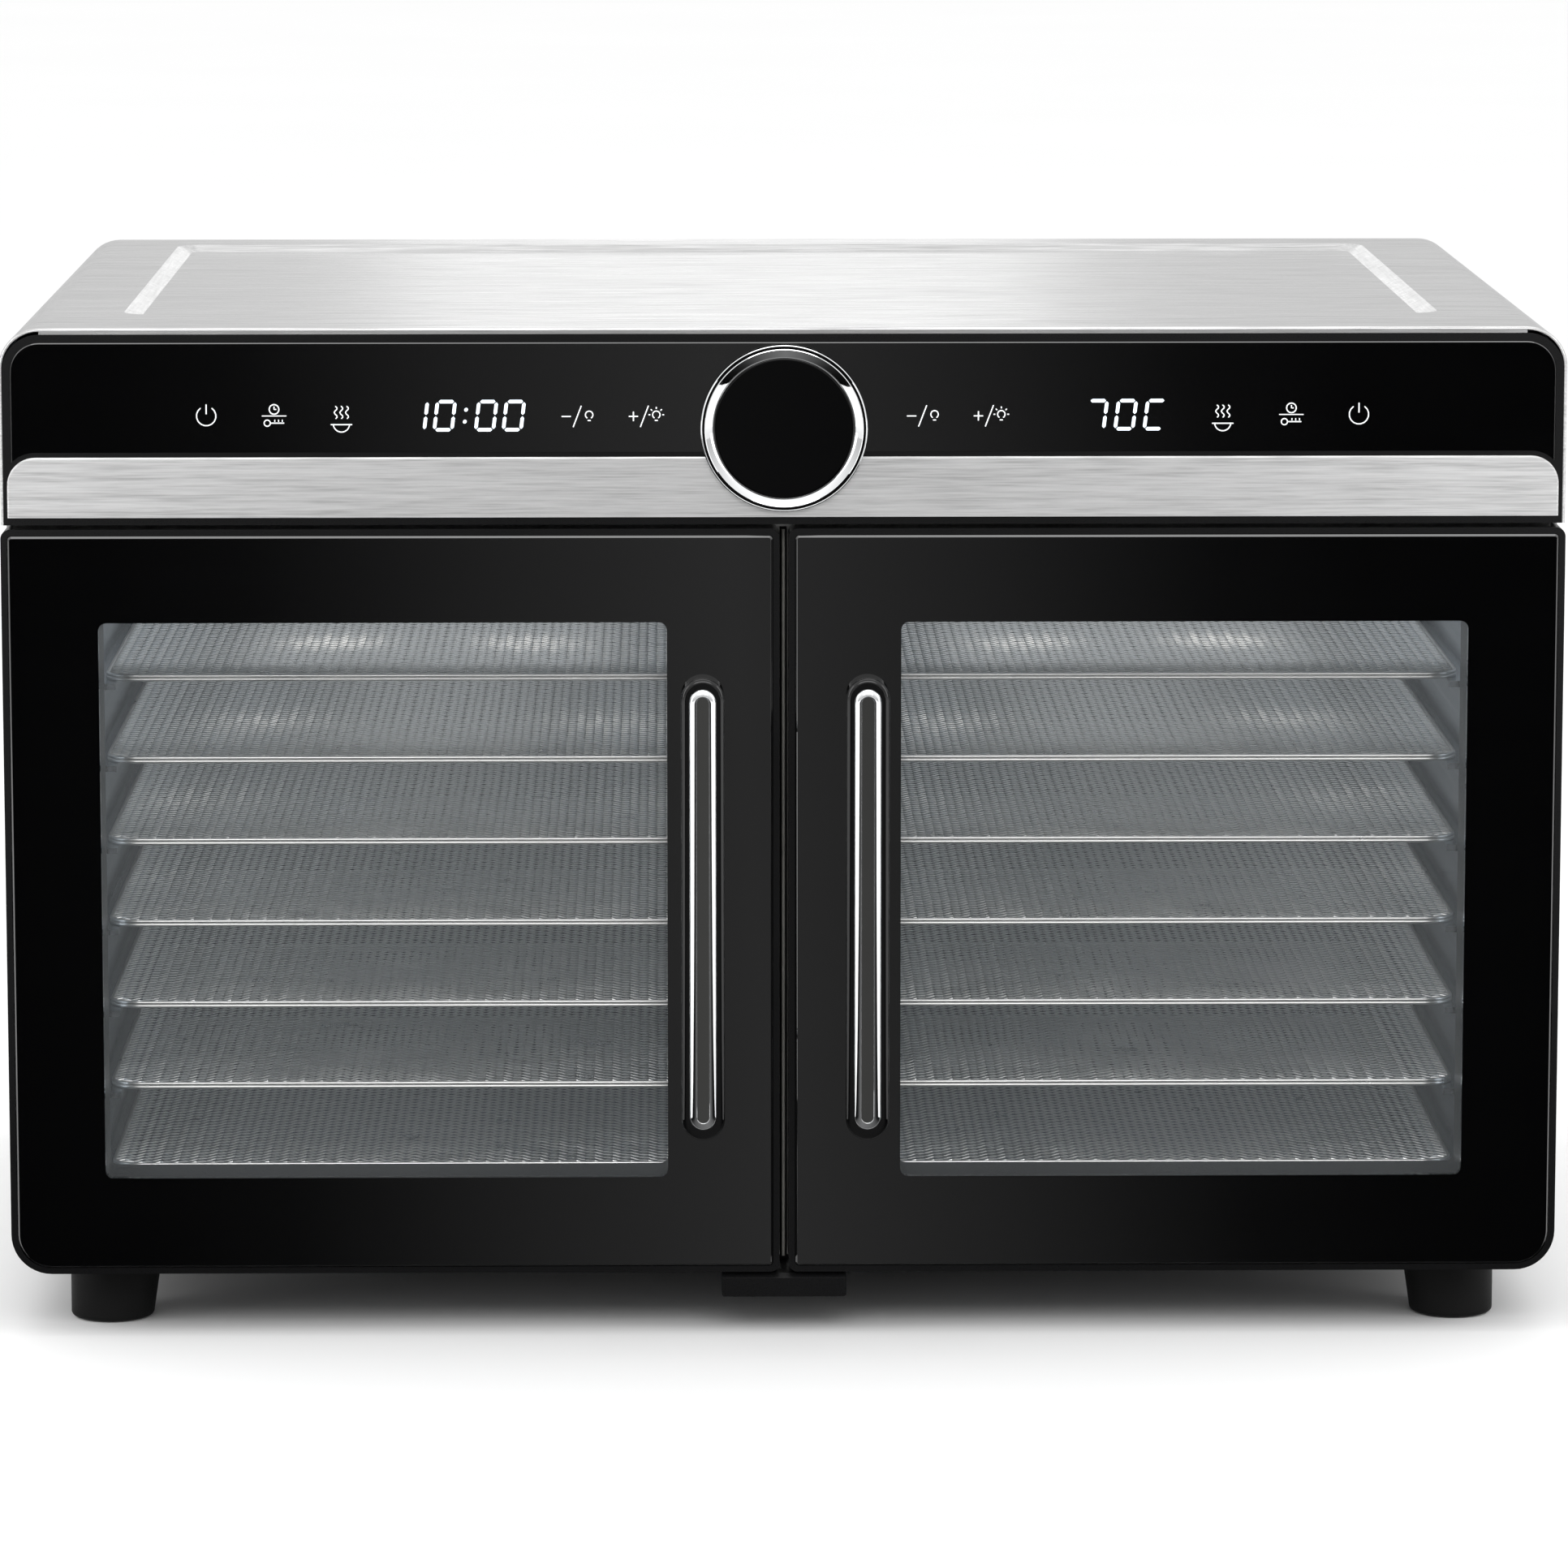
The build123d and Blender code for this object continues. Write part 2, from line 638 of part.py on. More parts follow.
# ---------------------------------------------------------------- supports and small parts
def feet():
    """Four tapered feet whose outer sides are upright."""
    with BuildPart() as group:
        for side in (-1, 1):
            for depth in (30.0, 325.0):
                with BuildSketch(Plane.XY):
                    with Locations((side * 220.0, FRONT + depth)):
                        Circle(13.5)
                with BuildSketch(Plane.XY.offset(FOOT_HEIGHT)):
                    with Locations((side * 218.5, FRONT + depth)):
                        Circle(15)
                loft()
        fillet(group.faces().filter_by(Axis.Z).group_by(Axis.Z)[0].edges(), 1.5)
    save(group, "feet")


def door_rest():
    """Bracket under the pan that carries the free corners of both closed doors."""
    half = 20.2
    with BuildPart() as rest:
        block(-half, half, FRONT - 1.5, FRONT + 52, 12, FOOT_HEIGHT - 0.4)
        block(-half, half, BODY_FRONT, FRONT + 52, FOOT_HEIGHT - 0.4, FOOT_HEIGHT)
        front = rest.faces().sort_by(Axis.Y)[0]
        chamfer(front.edges().sort_by(Axis.Z)[-1], 1.5)
        fillet(rest.edges().filter_by(Axis.Y).group_by(Axis.Z)[0], 1)
    save(rest, "door_rest")


def hinge_brackets():
    """Four fixed hinge tongues, each bored for a door pin, on plates behind the bulkhead."""
    plate_y = BODY_FRONT + FRAME_THICK
    with BuildPart() as group:
        for side in (-1, 1):
            x = side * PIN_X
            for height in HINGE_HEIGHTS:
                with BuildSketch(Plane.XY.offset(height - TONGUE_THICK / 2)):
                    with Locations((x, PIN_Y)):
                        Circle(TONGUE_HALF)
                    rectangle_between(x - TONGUE_HALF, x + TONGUE_HALF, PIN_Y, plate_y)
                    with Locations((x, PIN_Y)):
                        Circle(PIN_RADIUS + PIN_CLEARANCE, mode=Mode.SUBTRACT)
                extrude(amount=TONGUE_THICK)
                block(
                    x - side * 12, x + side * 4.5, plate_y, plate_y + 2, height - 12, height + 12
                )
    save(group, "hinge_brackets")


MAGNET_WIDE = 20.0
MAGNET_HIGH = 5.0


def magnet_places(side):
    """Return where one door's two magnets sit in the bulkhead."""
    return ((side * 22.0, 258.8), (side * 22.0, 24.6))


def door_magnets():
    """Four magnets let into the bulkhead above and below the door seals."""
    with BuildPart() as group:
        for side in (-1, 1):
            for across, height in magnet_places(side):
                with BuildSketch(facing(BODY_FRONT - 0.3)):
                    with Locations((across, height)):
                        Rectangle(MAGNET_WIDE, MAGNET_HIGH)
                extrude(amount=-3.5)
    save(group, "door_magnets")


def cover_screws():
    """Pan-head screws that hold the rear panel to the cover flange and the pan."""
    with BuildPart() as group:
        with BuildSketch(facing(PANEL_BACK + 1.6)):
            with Locations(*screw_places()):
                Circle(3.2)
        extrude(amount=1.6)
        with BuildSketch(facing(PANEL_BACK)):
            with Locations(*screw_places()):
                Circle(1.5)
        extrude(amount=8)
    save(group, "cover_screws")


# ---------------------------------------------------------------- doors
def door_outline(side, border, corner, small):
    """Draw a door's outline inset by a border, with its large outer bottom corner."""
    with BuildSketch(mode=Mode.PRIVATE) as outline:
        rectangle_between(
            side * (DOOR_INNER + border), side * (HALF - border),
            DOOR_BOTTOM + border, DOOR_TOP - border,
        )
        bottom = outline.vertices().group_by(Axis.Y)[0]
        outer = bottom.sort_by(Axis.X)[0 if side < 0 else -1]
        fillet(outer, corner)
        fillet(outline.vertices().sort_by_distance((side * DOOR_INNER, DOOR_TOP))[0], small)
        fillet(outline.vertices().sort_by_distance((side * DOOR_INNER, DOOR_BOTTOM))[0], small)
        fillet(outline.vertices().sort_by_distance((side * HALF, DOOR_TOP))[0], small)
    add(outline.sketch)


def window(side, mode):
    """Draw the clear window of a door."""
    rounded_between(
        side * WINDOW_INNER, side * WINDOW_OUTER, WINDOW_BOTTOM, WINDOW_TOP, 2.6, mode
    )


def seal_loop(side, half_width):
    """Draw the closed band that the door seal follows."""
    for grow, mode in ((half_width, Mode.ADD), (-half_width, Mode.SUBTRACT)):
        rounded_between(
            side * (7 - grow), side * (231 + grow), 31 - grow, 252 + grow, 6 + grow, mode
        )


def handle_posts(side):
    """Return the centres of a handle's two posts."""
    return [(side * HANDLE_X, HANDLE_Z + step * POST_REACH) for step in (-1, 1)]


def door_frame(side_name, side):
    """Moulded door frame: glass seat in front, seal groove behind, hinge notches outside."""
    groove = 2.4
    with BuildPart() as frame:
        with BuildSketch(facing(DOOR_FRONT)):
            door_outline(side, 0, CORNER, 3)
        extrude(amount=DOOR_FRONT - DOOR_BACK)
        outer_edge = frame.edges().filter_by(Axis.Z).group_by(Axis.Y)[-1]
        fillet(outer_edge.sort_by(Axis.X)[0 if side < 0 else -1], 6)
        with BuildSketch(facing(DOOR_FRONT)):
            door_outline(side, DOOR_BORDER, CORNER - DOOR_BORDER, 1.5)
        extrude(amount=DOOR_FRONT - GLASS_BACK, mode=Mode.SUBTRACT)
        with BuildSketch(facing(DOOR_FRONT)):
            window(side, Mode.ADD)
        extrude(amount=DOOR_FRONT - DOOR_BACK, mode=Mode.SUBTRACT)
        with BuildSketch(facing(DOOR_BACK)):
            seal_loop(side, 3)
        extrude(amount=groove, mode=Mode.SUBTRACT)
        for height in HINGE_HEIGHTS:
            low = height - SLOT_HEIGHT / 2
            block(
                side * (PIN_X - 6), side * (HALF + 1), FRONT + 2, DOOR_BACK + 1,
                low, low + SLOT_HEIGHT, Mode.SUBTRACT,
            )
            with BuildSketch(Plane.XY.offset(height - PIN_LENGTH / 2)):
                with Locations((side * PIN_X, PIN_Y)):
                    Circle(PIN_RADIUS)
            extrude(amount=PIN_LENGTH, mode=Mode.SUBTRACT)
        with BuildSketch(facing(DOOR_BACK)):
            with Locations(*handle_posts(side)):
                Circle(2.2)
        extrude(amount=DOOR_BACK - DOOR_FRONT, mode=Mode.SUBTRACT)
        with BuildSketch(facing(DOOR_BACK)):
            with Locations(*handle_posts(side)):
                Circle(4.5)
        extrude(amount=4, mode=Mode.SUBTRACT)
    save(frame, f"{side_name}_door_frame")


def door_glass(side_name, side):
    """Full-size door glass with a polished edge, drilled for the handle screws."""
    with BuildPart() as glass:
        with BuildSketch(facing(GLASS_FRONT)):
            door_outline(side, DOOR_BORDER, CORNER - DOOR_BORDER, 1.5)
        extrude(amount=-GLASS_THICK)
        chamfer(glass.faces().sort_by(Axis.Y)[0].edges(), 0.8)
        with BuildSketch(facing(GLASS_BACK)):
            with Locations(*handle_posts(side)):
                Circle(2.2)
        extrude(amount=GLASS_THICK, mode=Mode.SUBTRACT)
    save(glass, f"{side_name}_door_glass")


def door_seal(side_name, side):
    """Soft seal in the groove on the back of the door."""
    with BuildPart() as seal:
        with BuildSketch(facing(DOOR_BACK - 2.4)):
            seal_loop(side, 3)
        extrude(amount=-3.6)
    save(seal, f"{side_name}_door_seal")


def handle_grip(side_name, side):
    """Capsule bar on two posts, grooved in front for its metal trim."""
    with BuildPart() as grip:
        with BuildSketch(facing(GRIP_FRONT)):
            with Locations((side * HANDLE_X, HANDLE_Z)):
                SlotOverall(GRIP_LENGTH, GRIP_WIDTH, rotation=90)
        extrude(amount=-GRIP_THICK)
        fillet(grip.faces().sort_by(Axis.Y)[0].edges(), 1.5)
        with BuildSketch(facing(GLASS_FRONT)):
            with Locations(*handle_posts(side)):
                SlotOverall(16, 10, rotation=90)
        extrude(amount=GLASS_FRONT - GRIP_FRONT - GRIP_THICK)
        with BuildSketch(facing(GRIP_FRONT)):
            with Locations((side * HANDLE_X, HANDLE_Z)):
                SlotOverall(TRIM_LENGTH, TRIM_WIDTH, rotation=90)
        extrude(amount=-2, mode=Mode.SUBTRACT)
        with BuildSketch(facing(GLASS_FRONT)):
            with Locations(*handle_posts(side)):
                Circle(1.8)
        extrude(amount=14, mode=Mode.SUBTRACT)
    save(grip, f"{side_name}_handle_grip")


def handle_trim(side_name, side):
    """Polished capsule let into the front of the grip."""
    with BuildPart() as trim:
        with BuildSketch(facing(GRIP_FRONT - TRIM_PROUD)):
            with Locations((side * HANDLE_X, HANDLE_Z)):
                SlotOverall(TRIM_LENGTH, TRIM_WIDTH, rotation=90)
        extrude(amount=-2 - TRIM_PROUD)
        fillet(trim.faces().sort_by(Axis.Y)[0].edges(), 0.9)
    save(trim, f"{side_name}_handle_trim")


def door_screws(side_name, side):
    """Two screws that clamp the handle from behind, through the frame and the glass."""
    with BuildPart() as group:
        with BuildSketch(facing(DOOR_BACK - 1)):
            with Locations(*handle_posts(side)):
                Circle(3.8)
        extrude(amount=3)
        with BuildSketch(facing(DOOR_BACK - 4)):
            with Locations(*handle_posts(side)):
                Circle(1.8)
        extrude(amount=DOOR_BACK - 4 - GLASS_FRONT + 12)
    save(group, f"{side_name}_door_screws")


def hinge_pins(side_name, side):
    """The door's upper and lower hinge pins, pressed into its frame."""
    with BuildPart() as pins:
        for height in HINGE_HEIGHTS:
            with BuildSketch(Plane.XY.offset(height - PIN_LENGTH / 2)):
                with Locations((side * PIN_X, PIN_Y)):
                    Circle(PIN_RADIUS)
            extrude(amount=PIN_LENGTH)
    save(pins, f"{side_name}_hinge_pins")


# ---------------------------------------------------------------- trays
def tray(side_name, side, number, height):
    """Drying tray: a rounded steel rim with a mesh sheet flush with its top."""
    centre = (side * CHAMBER_X, TRAY_FRONT + TRAY_DEPTH / 2)
    inner_wide = TRAY_WIDTH - 2 * TRAY_RIM_WIDTH
    inner_deep = TRAY_DEPTH - 2 * TRAY_RIM_WIDTH
    inner_corner = TRAY_CORNER - TRAY_RIM_WIDTH
    bottom = height - TRAY_RIM / 2
    with BuildPart() as rack:
        with BuildSketch(Plane.XY.offset(bottom)):
            with Locations(centre):
                RectangleRounded(TRAY_WIDTH, TRAY_DEPTH, TRAY_CORNER)
                RectangleRounded(inner_wide, inner_deep, inner_corner, mode=Mode.SUBTRACT)
        extrude(amount=TRAY_RIM)
        with BuildSketch(Plane.XY.offset(bottom + TRAY_RIM - TRAY_MESH)):
            with Locations(centre):
                RectangleRounded(inner_wide, inner_deep, inner_corner)
        extrude(amount=TRAY_MESH)
    save(rack, f"{side_name}_tray_{number}")


# ---------------------------------------------------------------- the whole object
outer_cover()
base_pan()
rear_panel()
face_frame()
fascia()
control_glass()
trim_strip()
badge()
control_board()
power_board()
power_inlet()
chamber_lamps()
feet()
door_rest()
hinge_brackets()
door_magnets()
cover_screws()
for name, sign in SIDES:
    chamber(name, sign)
    guides(name, sign)
    fan_guard(name, sign)
    heater(name, sign)
    motor(name, sign)
    fan(name, sign)
    door_frame(name, sign)
    door_glass(name, sign)
    door_seal(name, sign)
    handle_grip(name, sign)
    handle_trim(name, sign)
    door_screws(name, sign)
    hinge_pins(name, sign)
    for index, rim_height in enumerate(tray_heights()):
        tray(name, sign, index + 1, rim_height)
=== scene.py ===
"""Studio model of a twin-chamber food dehydrator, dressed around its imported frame."""

import logging
import math
from dataclasses import dataclass, field
from enum import Enum
from typing import Callable, Iterable, Sequence

import bpy
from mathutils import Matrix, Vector


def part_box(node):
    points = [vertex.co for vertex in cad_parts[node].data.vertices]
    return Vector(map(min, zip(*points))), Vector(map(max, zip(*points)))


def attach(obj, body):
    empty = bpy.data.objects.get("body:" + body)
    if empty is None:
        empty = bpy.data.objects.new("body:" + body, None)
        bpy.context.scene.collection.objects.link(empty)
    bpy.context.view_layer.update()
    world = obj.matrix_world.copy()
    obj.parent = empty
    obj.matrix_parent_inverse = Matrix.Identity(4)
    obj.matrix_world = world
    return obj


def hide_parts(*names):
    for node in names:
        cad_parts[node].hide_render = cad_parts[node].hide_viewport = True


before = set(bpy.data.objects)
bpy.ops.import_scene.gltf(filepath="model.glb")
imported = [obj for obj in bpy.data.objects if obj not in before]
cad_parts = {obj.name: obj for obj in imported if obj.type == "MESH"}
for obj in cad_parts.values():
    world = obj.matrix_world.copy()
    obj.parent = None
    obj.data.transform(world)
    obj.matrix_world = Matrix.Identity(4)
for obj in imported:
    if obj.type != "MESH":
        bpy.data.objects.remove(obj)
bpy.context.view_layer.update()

log = logging.getLogger("dehydrator")

MM = 0.001
SIDES = {"left": -1, "right": 1}
TRAYS_PER_SIDE = 7
TOUCH = 1e-5

Piece = bpy.types.Object
Socket = bpy.types.NodeSocket
Colour = tuple[float, float, float]
Point = Sequence[float]
Test = Callable[[Vector, Vector], bool]


class Axis(Enum):
    """The three directions of the object's frame."""

    X = 0
    Y = 1
    Z = 2


# ------------------------------------------------------------------ finishes
class Graph:
    """A small helper that wires the nodes of one material."""

    def __init__(self, name: str) -> None:
        """Start an empty material with its output and one Principled shader.

        Args:
            name: the material's name.
        """
        self.material = bpy.data.materials.new(name)
        self.material.use_nodes = True
        self.nodes = self.material.node_tree.nodes
        self.links = self.material.node_tree.links
        self.nodes.clear()
        self.shader = self.nodes.new("ShaderNodeBsdfPrincipled")
        out = self.nodes.new("ShaderNodeOutputMaterial")
        self.links.new(self.shader.outputs[0], out.inputs[0])
        self.coordinates = self.nodes.new("ShaderNodeTexCoord").outputs["Object"]

    def mapped(self, scale: Point) -> Socket:
        """Return object coordinates stretched by a scale on each axis.

        Args:
            scale: the stretch on each axis.

        Returns:
            The socket that carries them.
        """
        node = self.nodes.new("ShaderNodeMapping")
        node.inputs["Scale"].default_value = scale
        self.links.new(self.coordinates, node.inputs["Vector"])
        return node.outputs[0]

    def noise(self, scale: Point, size: float, detail: float = 3.0) -> Socket:
        """Return a noise value.

        Args:
            scale: stretch of the object coordinates on each axis.
            size: how fine the noise is, in lumps per metre.
            detail: number of finer layers.

        Returns:
            The socket that carries the noise, about 0 to 1.
        """
        node = self.nodes.new("ShaderNodeTexNoise")
        node.inputs["Scale"].default_value = size
        node.inputs["Detail"].default_value = detail
        self.links.new(self.mapped(scale), node.inputs["Vector"])
        return node.outputs["Fac"]

    def ramp(self, source: Socket, stops: Sequence[tuple[float, Point]]) -> Socket:
        """Return a colour picked from stops by a value.

        Args:
            source: the value.
            stops: pairs of place and RGB colour.

        Returns:
            The socket that carries the colour.
        """
        node = self.nodes.new("ShaderNodeValToRGB")
        ramp = node.color_ramp
        ramp.elements[0].position = stops[0][0]
        ramp.elements[0].color = (*stops[0][1], 1.0)
        ramp.elements[1].position = stops[-1][0]
        ramp.elements[1].color = (*stops[-1][1], 1.0)
        for place, colour in stops[1:-1]:
            ramp.elements.new(place).color = (*colour, 1.0)
        self.links.new(source, node.inputs[0])
        return node.outputs[0]

    def spread(self, source: Socket, low: float, high: float) -> Socket:
        """Return a value from 0.3 to 0.7, where most of a noise lies, stretched between two numbers.

        Args:
            source: the value.
            low: what 0.3 becomes.
            high: what 0.7 becomes.

        Returns:
            The socket that carries the result.
        """
        node = self.nodes.new("ShaderNodeMapRange")
        node.inputs["From Min"].default_value = 0.3
        node.inputs["From Max"].default_value = 0.7
        node.inputs["To Min"].default_value = low
        node.inputs["To Max"].default_value = high
        self.links.new(source, node.inputs[0])
        return node.outputs[0]

    def bump(self, source: Socket, depth: float, strength: float = 1.0) -> None:
        """Raise the surface by a value.

        Args:
            source: the height, from 0 to 1.
            depth: the relief's greatest height.
            strength: share of the relief that shows.
        """
        node = self.nodes.new("ShaderNodeBump")
        node.inputs["Distance"].default_value = depth
        node.inputs["Strength"].default_value = strength
        self.links.new(source, node.inputs["Height"])
        self.links.new(node.outputs[0], self.shader.inputs["Normal"])

    def math(self, operation: str, *values: Socket | float) -> Socket:
        """Return the result of one sum.

        Args:
            operation: the sum's name.
            values: the sockets or numbers that go in.

        Returns:
            The socket that carries the result.
        """
        node = self.nodes.new("ShaderNodeMath")
        node.operation = operation
        for place, value in enumerate(values):
            if isinstance(value, float):
                node.inputs[place].default_value = value
            else:
                self.links.new(value, node.inputs[place])
        return node.outputs[0]

    def split(self, source: Socket) -> Sequence[Socket]:
        """Return a vector's three parts.

        Args:
            source: the vector.

        Returns:
            The sockets that carry X, Y and Z.
        """
        node = self.nodes.new("ShaderNodeSeparateXYZ")
        self.links.new(source, node.inputs[0])
        return node.outputs

    def mix(self, share: Socket | float, first: Socket, second: Socket) -> Socket:
        """Return a blend of two values.

        Args:
            share: how much of the second goes in.
            first: the value at share 0.
            second: the value at share 1.

        Returns:
            The socket that carries the blend.
        """
        node = self.nodes.new("ShaderNodeMix")
        if isinstance(share, float):
            node.inputs[0].default_value = share
        else:
            self.links.new(share, node.inputs[0])
        self.links.new(first, node.inputs[2])
        self.links.new(second, node.inputs[3])
        return node.outputs[0]

    def colour(self, source: Socket) -> None:
        """Drive the base colour."""
        self.links.new(source, self.shader.inputs["Base Color"])

    def roughness(self, source: Socket) -> None:
        """Drive the roughness."""
        self.links.new(source, self.shader.inputs["Roughness"])

    def set(self, **values: float) -> None:
        """Set plain numbers on the shader's own sockets, named with underscores."""
        for key, value in values.items():
            self.shader.inputs[key.replace("_", " ")].default_value = value


def grey(value: float) -> Colour:
    """Return a neutral colour."""
    return (value, value, value)


def tint(colour: Colour, factor: float) -> Colour:
    """Return a colour made lighter or darker."""
    return tuple(min(1.0, channel * factor) for channel in colour[:3])


@dataclass(frozen=True)
class Finish:
    """A finish that any piece can wear."""

    name: str
    colour: Colour
    rough: float

    def material(self) -> bpy.types.Material:
        """Return the finish's material, made on first use."""
        return bpy.data.materials.get(self.name) or self.make()

    def make(self) -> bpy.types.Material:
        """Build the material."""
        raise NotImplementedError


@dataclass(frozen=True)
class Brushed(Finish):
    """Sheet steel with long hairline grain along one axis."""

    grain: Axis = Axis.X
    contrast: float = 0.2
    length: float = 14.0
    fineness: float = 1500.0
    wrapped: bool = False
    coarse: float = 0.3
    broad_share: float = 0.35

    def streaks(self, graph: Graph, grain: Axis) -> Socket:
        """Return hairlines of two lengths along an axis.

        Args:
            graph: the material.
            grain: the axis that the hairlines follow.

        Returns:
            The socket that carries them.
        """
        scale = [self.fineness] * 3
        scale[grain.value] = self.length
        fine = graph.noise(scale, 1.0, 4.0)
        long_scale = [self.fineness * self.coarse] * 3
        long_scale[grain.value] = self.length * 0.25
        broad = graph.noise(long_scale, 1.0, 2.0)
        return graph.mix(self.broad_share, fine, broad)

    def wrap(self, graph: Graph, across: Socket) -> Socket:
        """Turn the hairlines along Y on the faces that look sideways.

        Args:
            graph: the material.
            across: the hairlines of the other faces.

        Returns:
            The socket that carries both.
        """
        normal = graph.nodes.new("ShaderNodeTexCoord").outputs["Normal"]
        sideways = graph.math("ABSOLUTE", graph.split(normal)[0])
        return graph.mix(sideways, across, self.streaks(graph, Axis.Y))

    def make(self) -> bpy.types.Material:
        """Build the hairlines' tone, gloss and fine relief.

        Returns:
            The material.
        """
        graph = Graph(self.name)
        streaks = self.streaks(graph, self.grain)
        if self.wrapped:
            streaks = self.wrap(graph, streaks)
        dark = tint(self.colour, 1.0 - self.contrast)
        light = tint(self.colour, 1.0 + self.contrast)
        graph.colour(graph.ramp(streaks, ((0.34, dark), (0.5, self.colour), (0.66, light))))
        graph.roughness(graph.spread(streaks, self.rough + 0.06, self.rough - 0.06))
        graph.bump(streaks, 0.00003, 0.35)
        graph.set(Metallic=1.0)
        return graph.material


@dataclass(frozen=True)
class Polished(Finish):
    """Bright plate or polished steel with faint haze."""

    def make(self) -> bpy.types.Material:
        """Build a mirror whose colour and haze vary a little.

        Returns:
            The material.
        """
        graph = Graph(self.name)
        haze = graph.noise((1, 1, 1), 60.0)
        graph.colour(graph.ramp(haze, ((0.3, tint(self.colour, 0.96)), (0.7, self.colour))))
        graph.roughness(graph.spread(haze, self.rough * 0.8, self.rough * 1.2))
        graph.set(Metallic=1.0)
        return graph.material


@dataclass(frozen=True)
class Moulded(Finish):
    """Moulded plastic, rubber or powder coat with a fine grain."""

    grain: float = 2500.0
    depth: float = 0.00004
    level: float = 0.5

    def make(self) -> bpy.types.Material:
        """Build a grained surface with slight unevenness of tone.

        Returns:
            The material.
        """
        graph = Graph(self.name)
        speckle = graph.noise((1, 1, 1), self.grain, 2.0)
        cloud = graph.noise((1, 1, 1), 25.0)
        graph.colour(graph.ramp(cloud, ((0.3, tint(self.colour, 0.85)), (0.7, tint(self.colour, 1.15)))))
        graph.roughness(graph.spread(speckle, self.rough - 0.05, self.rough + 0.05))
        graph.bump(speckle, self.depth, 0.5)
        graph.set(Specular_IOR_Level=self.level)
        return graph.material


@dataclass(frozen=True)
class Glossy(Finish):
    """Black printed glass or polished plastic."""

    level: float = 0.5
    coat: float = 0.0

    def make(self) -> bpy.types.Material:
        """Build a deep gloss with the faintest wipe marks.

        Returns:
            The material.
        """
        graph = Graph(self.name)
        wipe = graph.noise((6, 6, 30), 3.0)
        graph.colour(graph.ramp(wipe, ((0.3, self.colour), (0.7, tint(self.colour, 1.25)))))
        graph.roughness(graph.spread(wipe, self.rough, self.rough + 0.02))
        graph.set(Specular_IOR_Level=self.level, Coat_Weight=self.coat)
        return graph.material


@dataclass(frozen=True)
class ClearPane(Finish):
    """Thin clear glass that lets lamps through."""

    alpha: float = 0.1

    def make(self) -> bpy.types.Material:
        """Build a nearly clear surface with faint haze in its gloss.

        Returns:
            The material.
        """
        graph = Graph(self.name)
        haze = graph.noise((1, 1, 1), 20.0)
        graph.colour(graph.ramp(haze, ((0.3, self.colour), (0.7, tint(self.colour, 1.1)))))
        graph.roughness(graph.spread(haze, self.rough, self.rough + 0.02))
        graph.set(Alpha=self.alpha)
        return graph.material


@dataclass(frozen=True)
class Glow(Finish):
    """A lit sign or lamp lens."""

    strength: float = 4.0
    light: Colour = (1.0, 1.0, 1.0)

    def make(self) -> bpy.types.Material:
        """Build a lit surface whose brightness varies a little.

        Returns:
            The material.
        """
        graph = Graph(self.name)
        uneven = graph.noise((1, 1, 1), 400.0)
        warm = tint(self.light, 0.92)
        shine = graph.ramp(uneven, ((0.3, warm), (0.7, self.light)))
        graph.links.new(shine, graph.shader.inputs["Emission Color"])
        graph.set(Emission_Strength=self.strength, Roughness=self.rough)
        graph.shader.inputs["Base Color"].default_value = (*self.colour, 1.0)
        return graph.material


@dataclass(frozen=True)
class Heated(Finish):
    """Steel sheath tinted by heat, from straw to blue."""

    def make(self) -> bpy.types.Material:
        """Build bands of temper colour along the sheath.

        Returns:
            The material.
        """
        graph = Graph(self.name)
        bands = graph.noise((1, 1, 1), 22.0, 2.0)
        stops = ((0.3, (0.30, 0.24, 0.18)), (0.5, self.colour), (0.7, (0.16, 0.17, 0.24)))
        graph.colour(graph.ramp(bands, stops))
        graph.roughness(graph.spread(bands, self.rough - 0.05, self.rough + 0.1))
        graph.bump(graph.noise((1, 1, 1), 900.0), 0.00003, 0.4)
        graph.set(Metallic=1.0)
        return graph.material


@dataclass(frozen=True)
class Board(Finish):
    """Lacquered circuit board with copper tracks under the green."""

    def make(self) -> bpy.types.Material:
        """Build angular tracks from a cell pattern under the lacquer.

        Returns:
            The material.
        """
        graph = Graph(self.name)
        cells = graph.nodes.new("ShaderNodeTexVoronoi")
        cells.distance = "MANHATTAN"
        cells.inputs["Scale"].default_value = 160.0
        graph.links.new(graph.coordinates, cells.inputs["Vector"])
        tracks = graph.ramp(cells.outputs["Distance"], ((0.3, self.colour), (0.36, tint(self.colour, 1.9))))
        graph.colour(tracks)
        graph.roughness(graph.spread(graph.noise((1, 1, 1), 90.0), self.rough, self.rough + 0.1))
        graph.bump(cells.outputs["Distance"], 0.00005, 0.4)
        return graph.material


COVER_STEEL = Brushed("cover_steel", grey(0.58), 0.3, contrast=0.3, length=45.0, wrapped=True)
STRIP_STEEL = Brushed("strip_steel", grey(0.80), 0.42, contrast=0.3, length=45.0)
FRAME_STEEL = Brushed("frame_steel", (0.62, 0.62, 0.61), 0.3, Axis.Z, 0.12)
CHAMBER_STEEL = Brushed("chamber_sheet", (0.50, 0.55, 0.60), 0.22, Axis.Y, 0.06, 6.0, 500.0)
# The fan guard's steel is painted dark: painted shade at the chamber's back, where little light reaches.
SHADED_GUARD_STEEL = Brushed("guard_sheet_painted_shade", (0.16, 0.165, 0.17), 0.34, Axis.X, 0.1, 6.0, 500.0)
TRAY_STEEL = Polished("tray_bright_steel", (0.80, 0.80, 0.79), 0.34)
CHROME = Polished("bright_chrome", (0.88, 0.89, 0.90), 0.04)
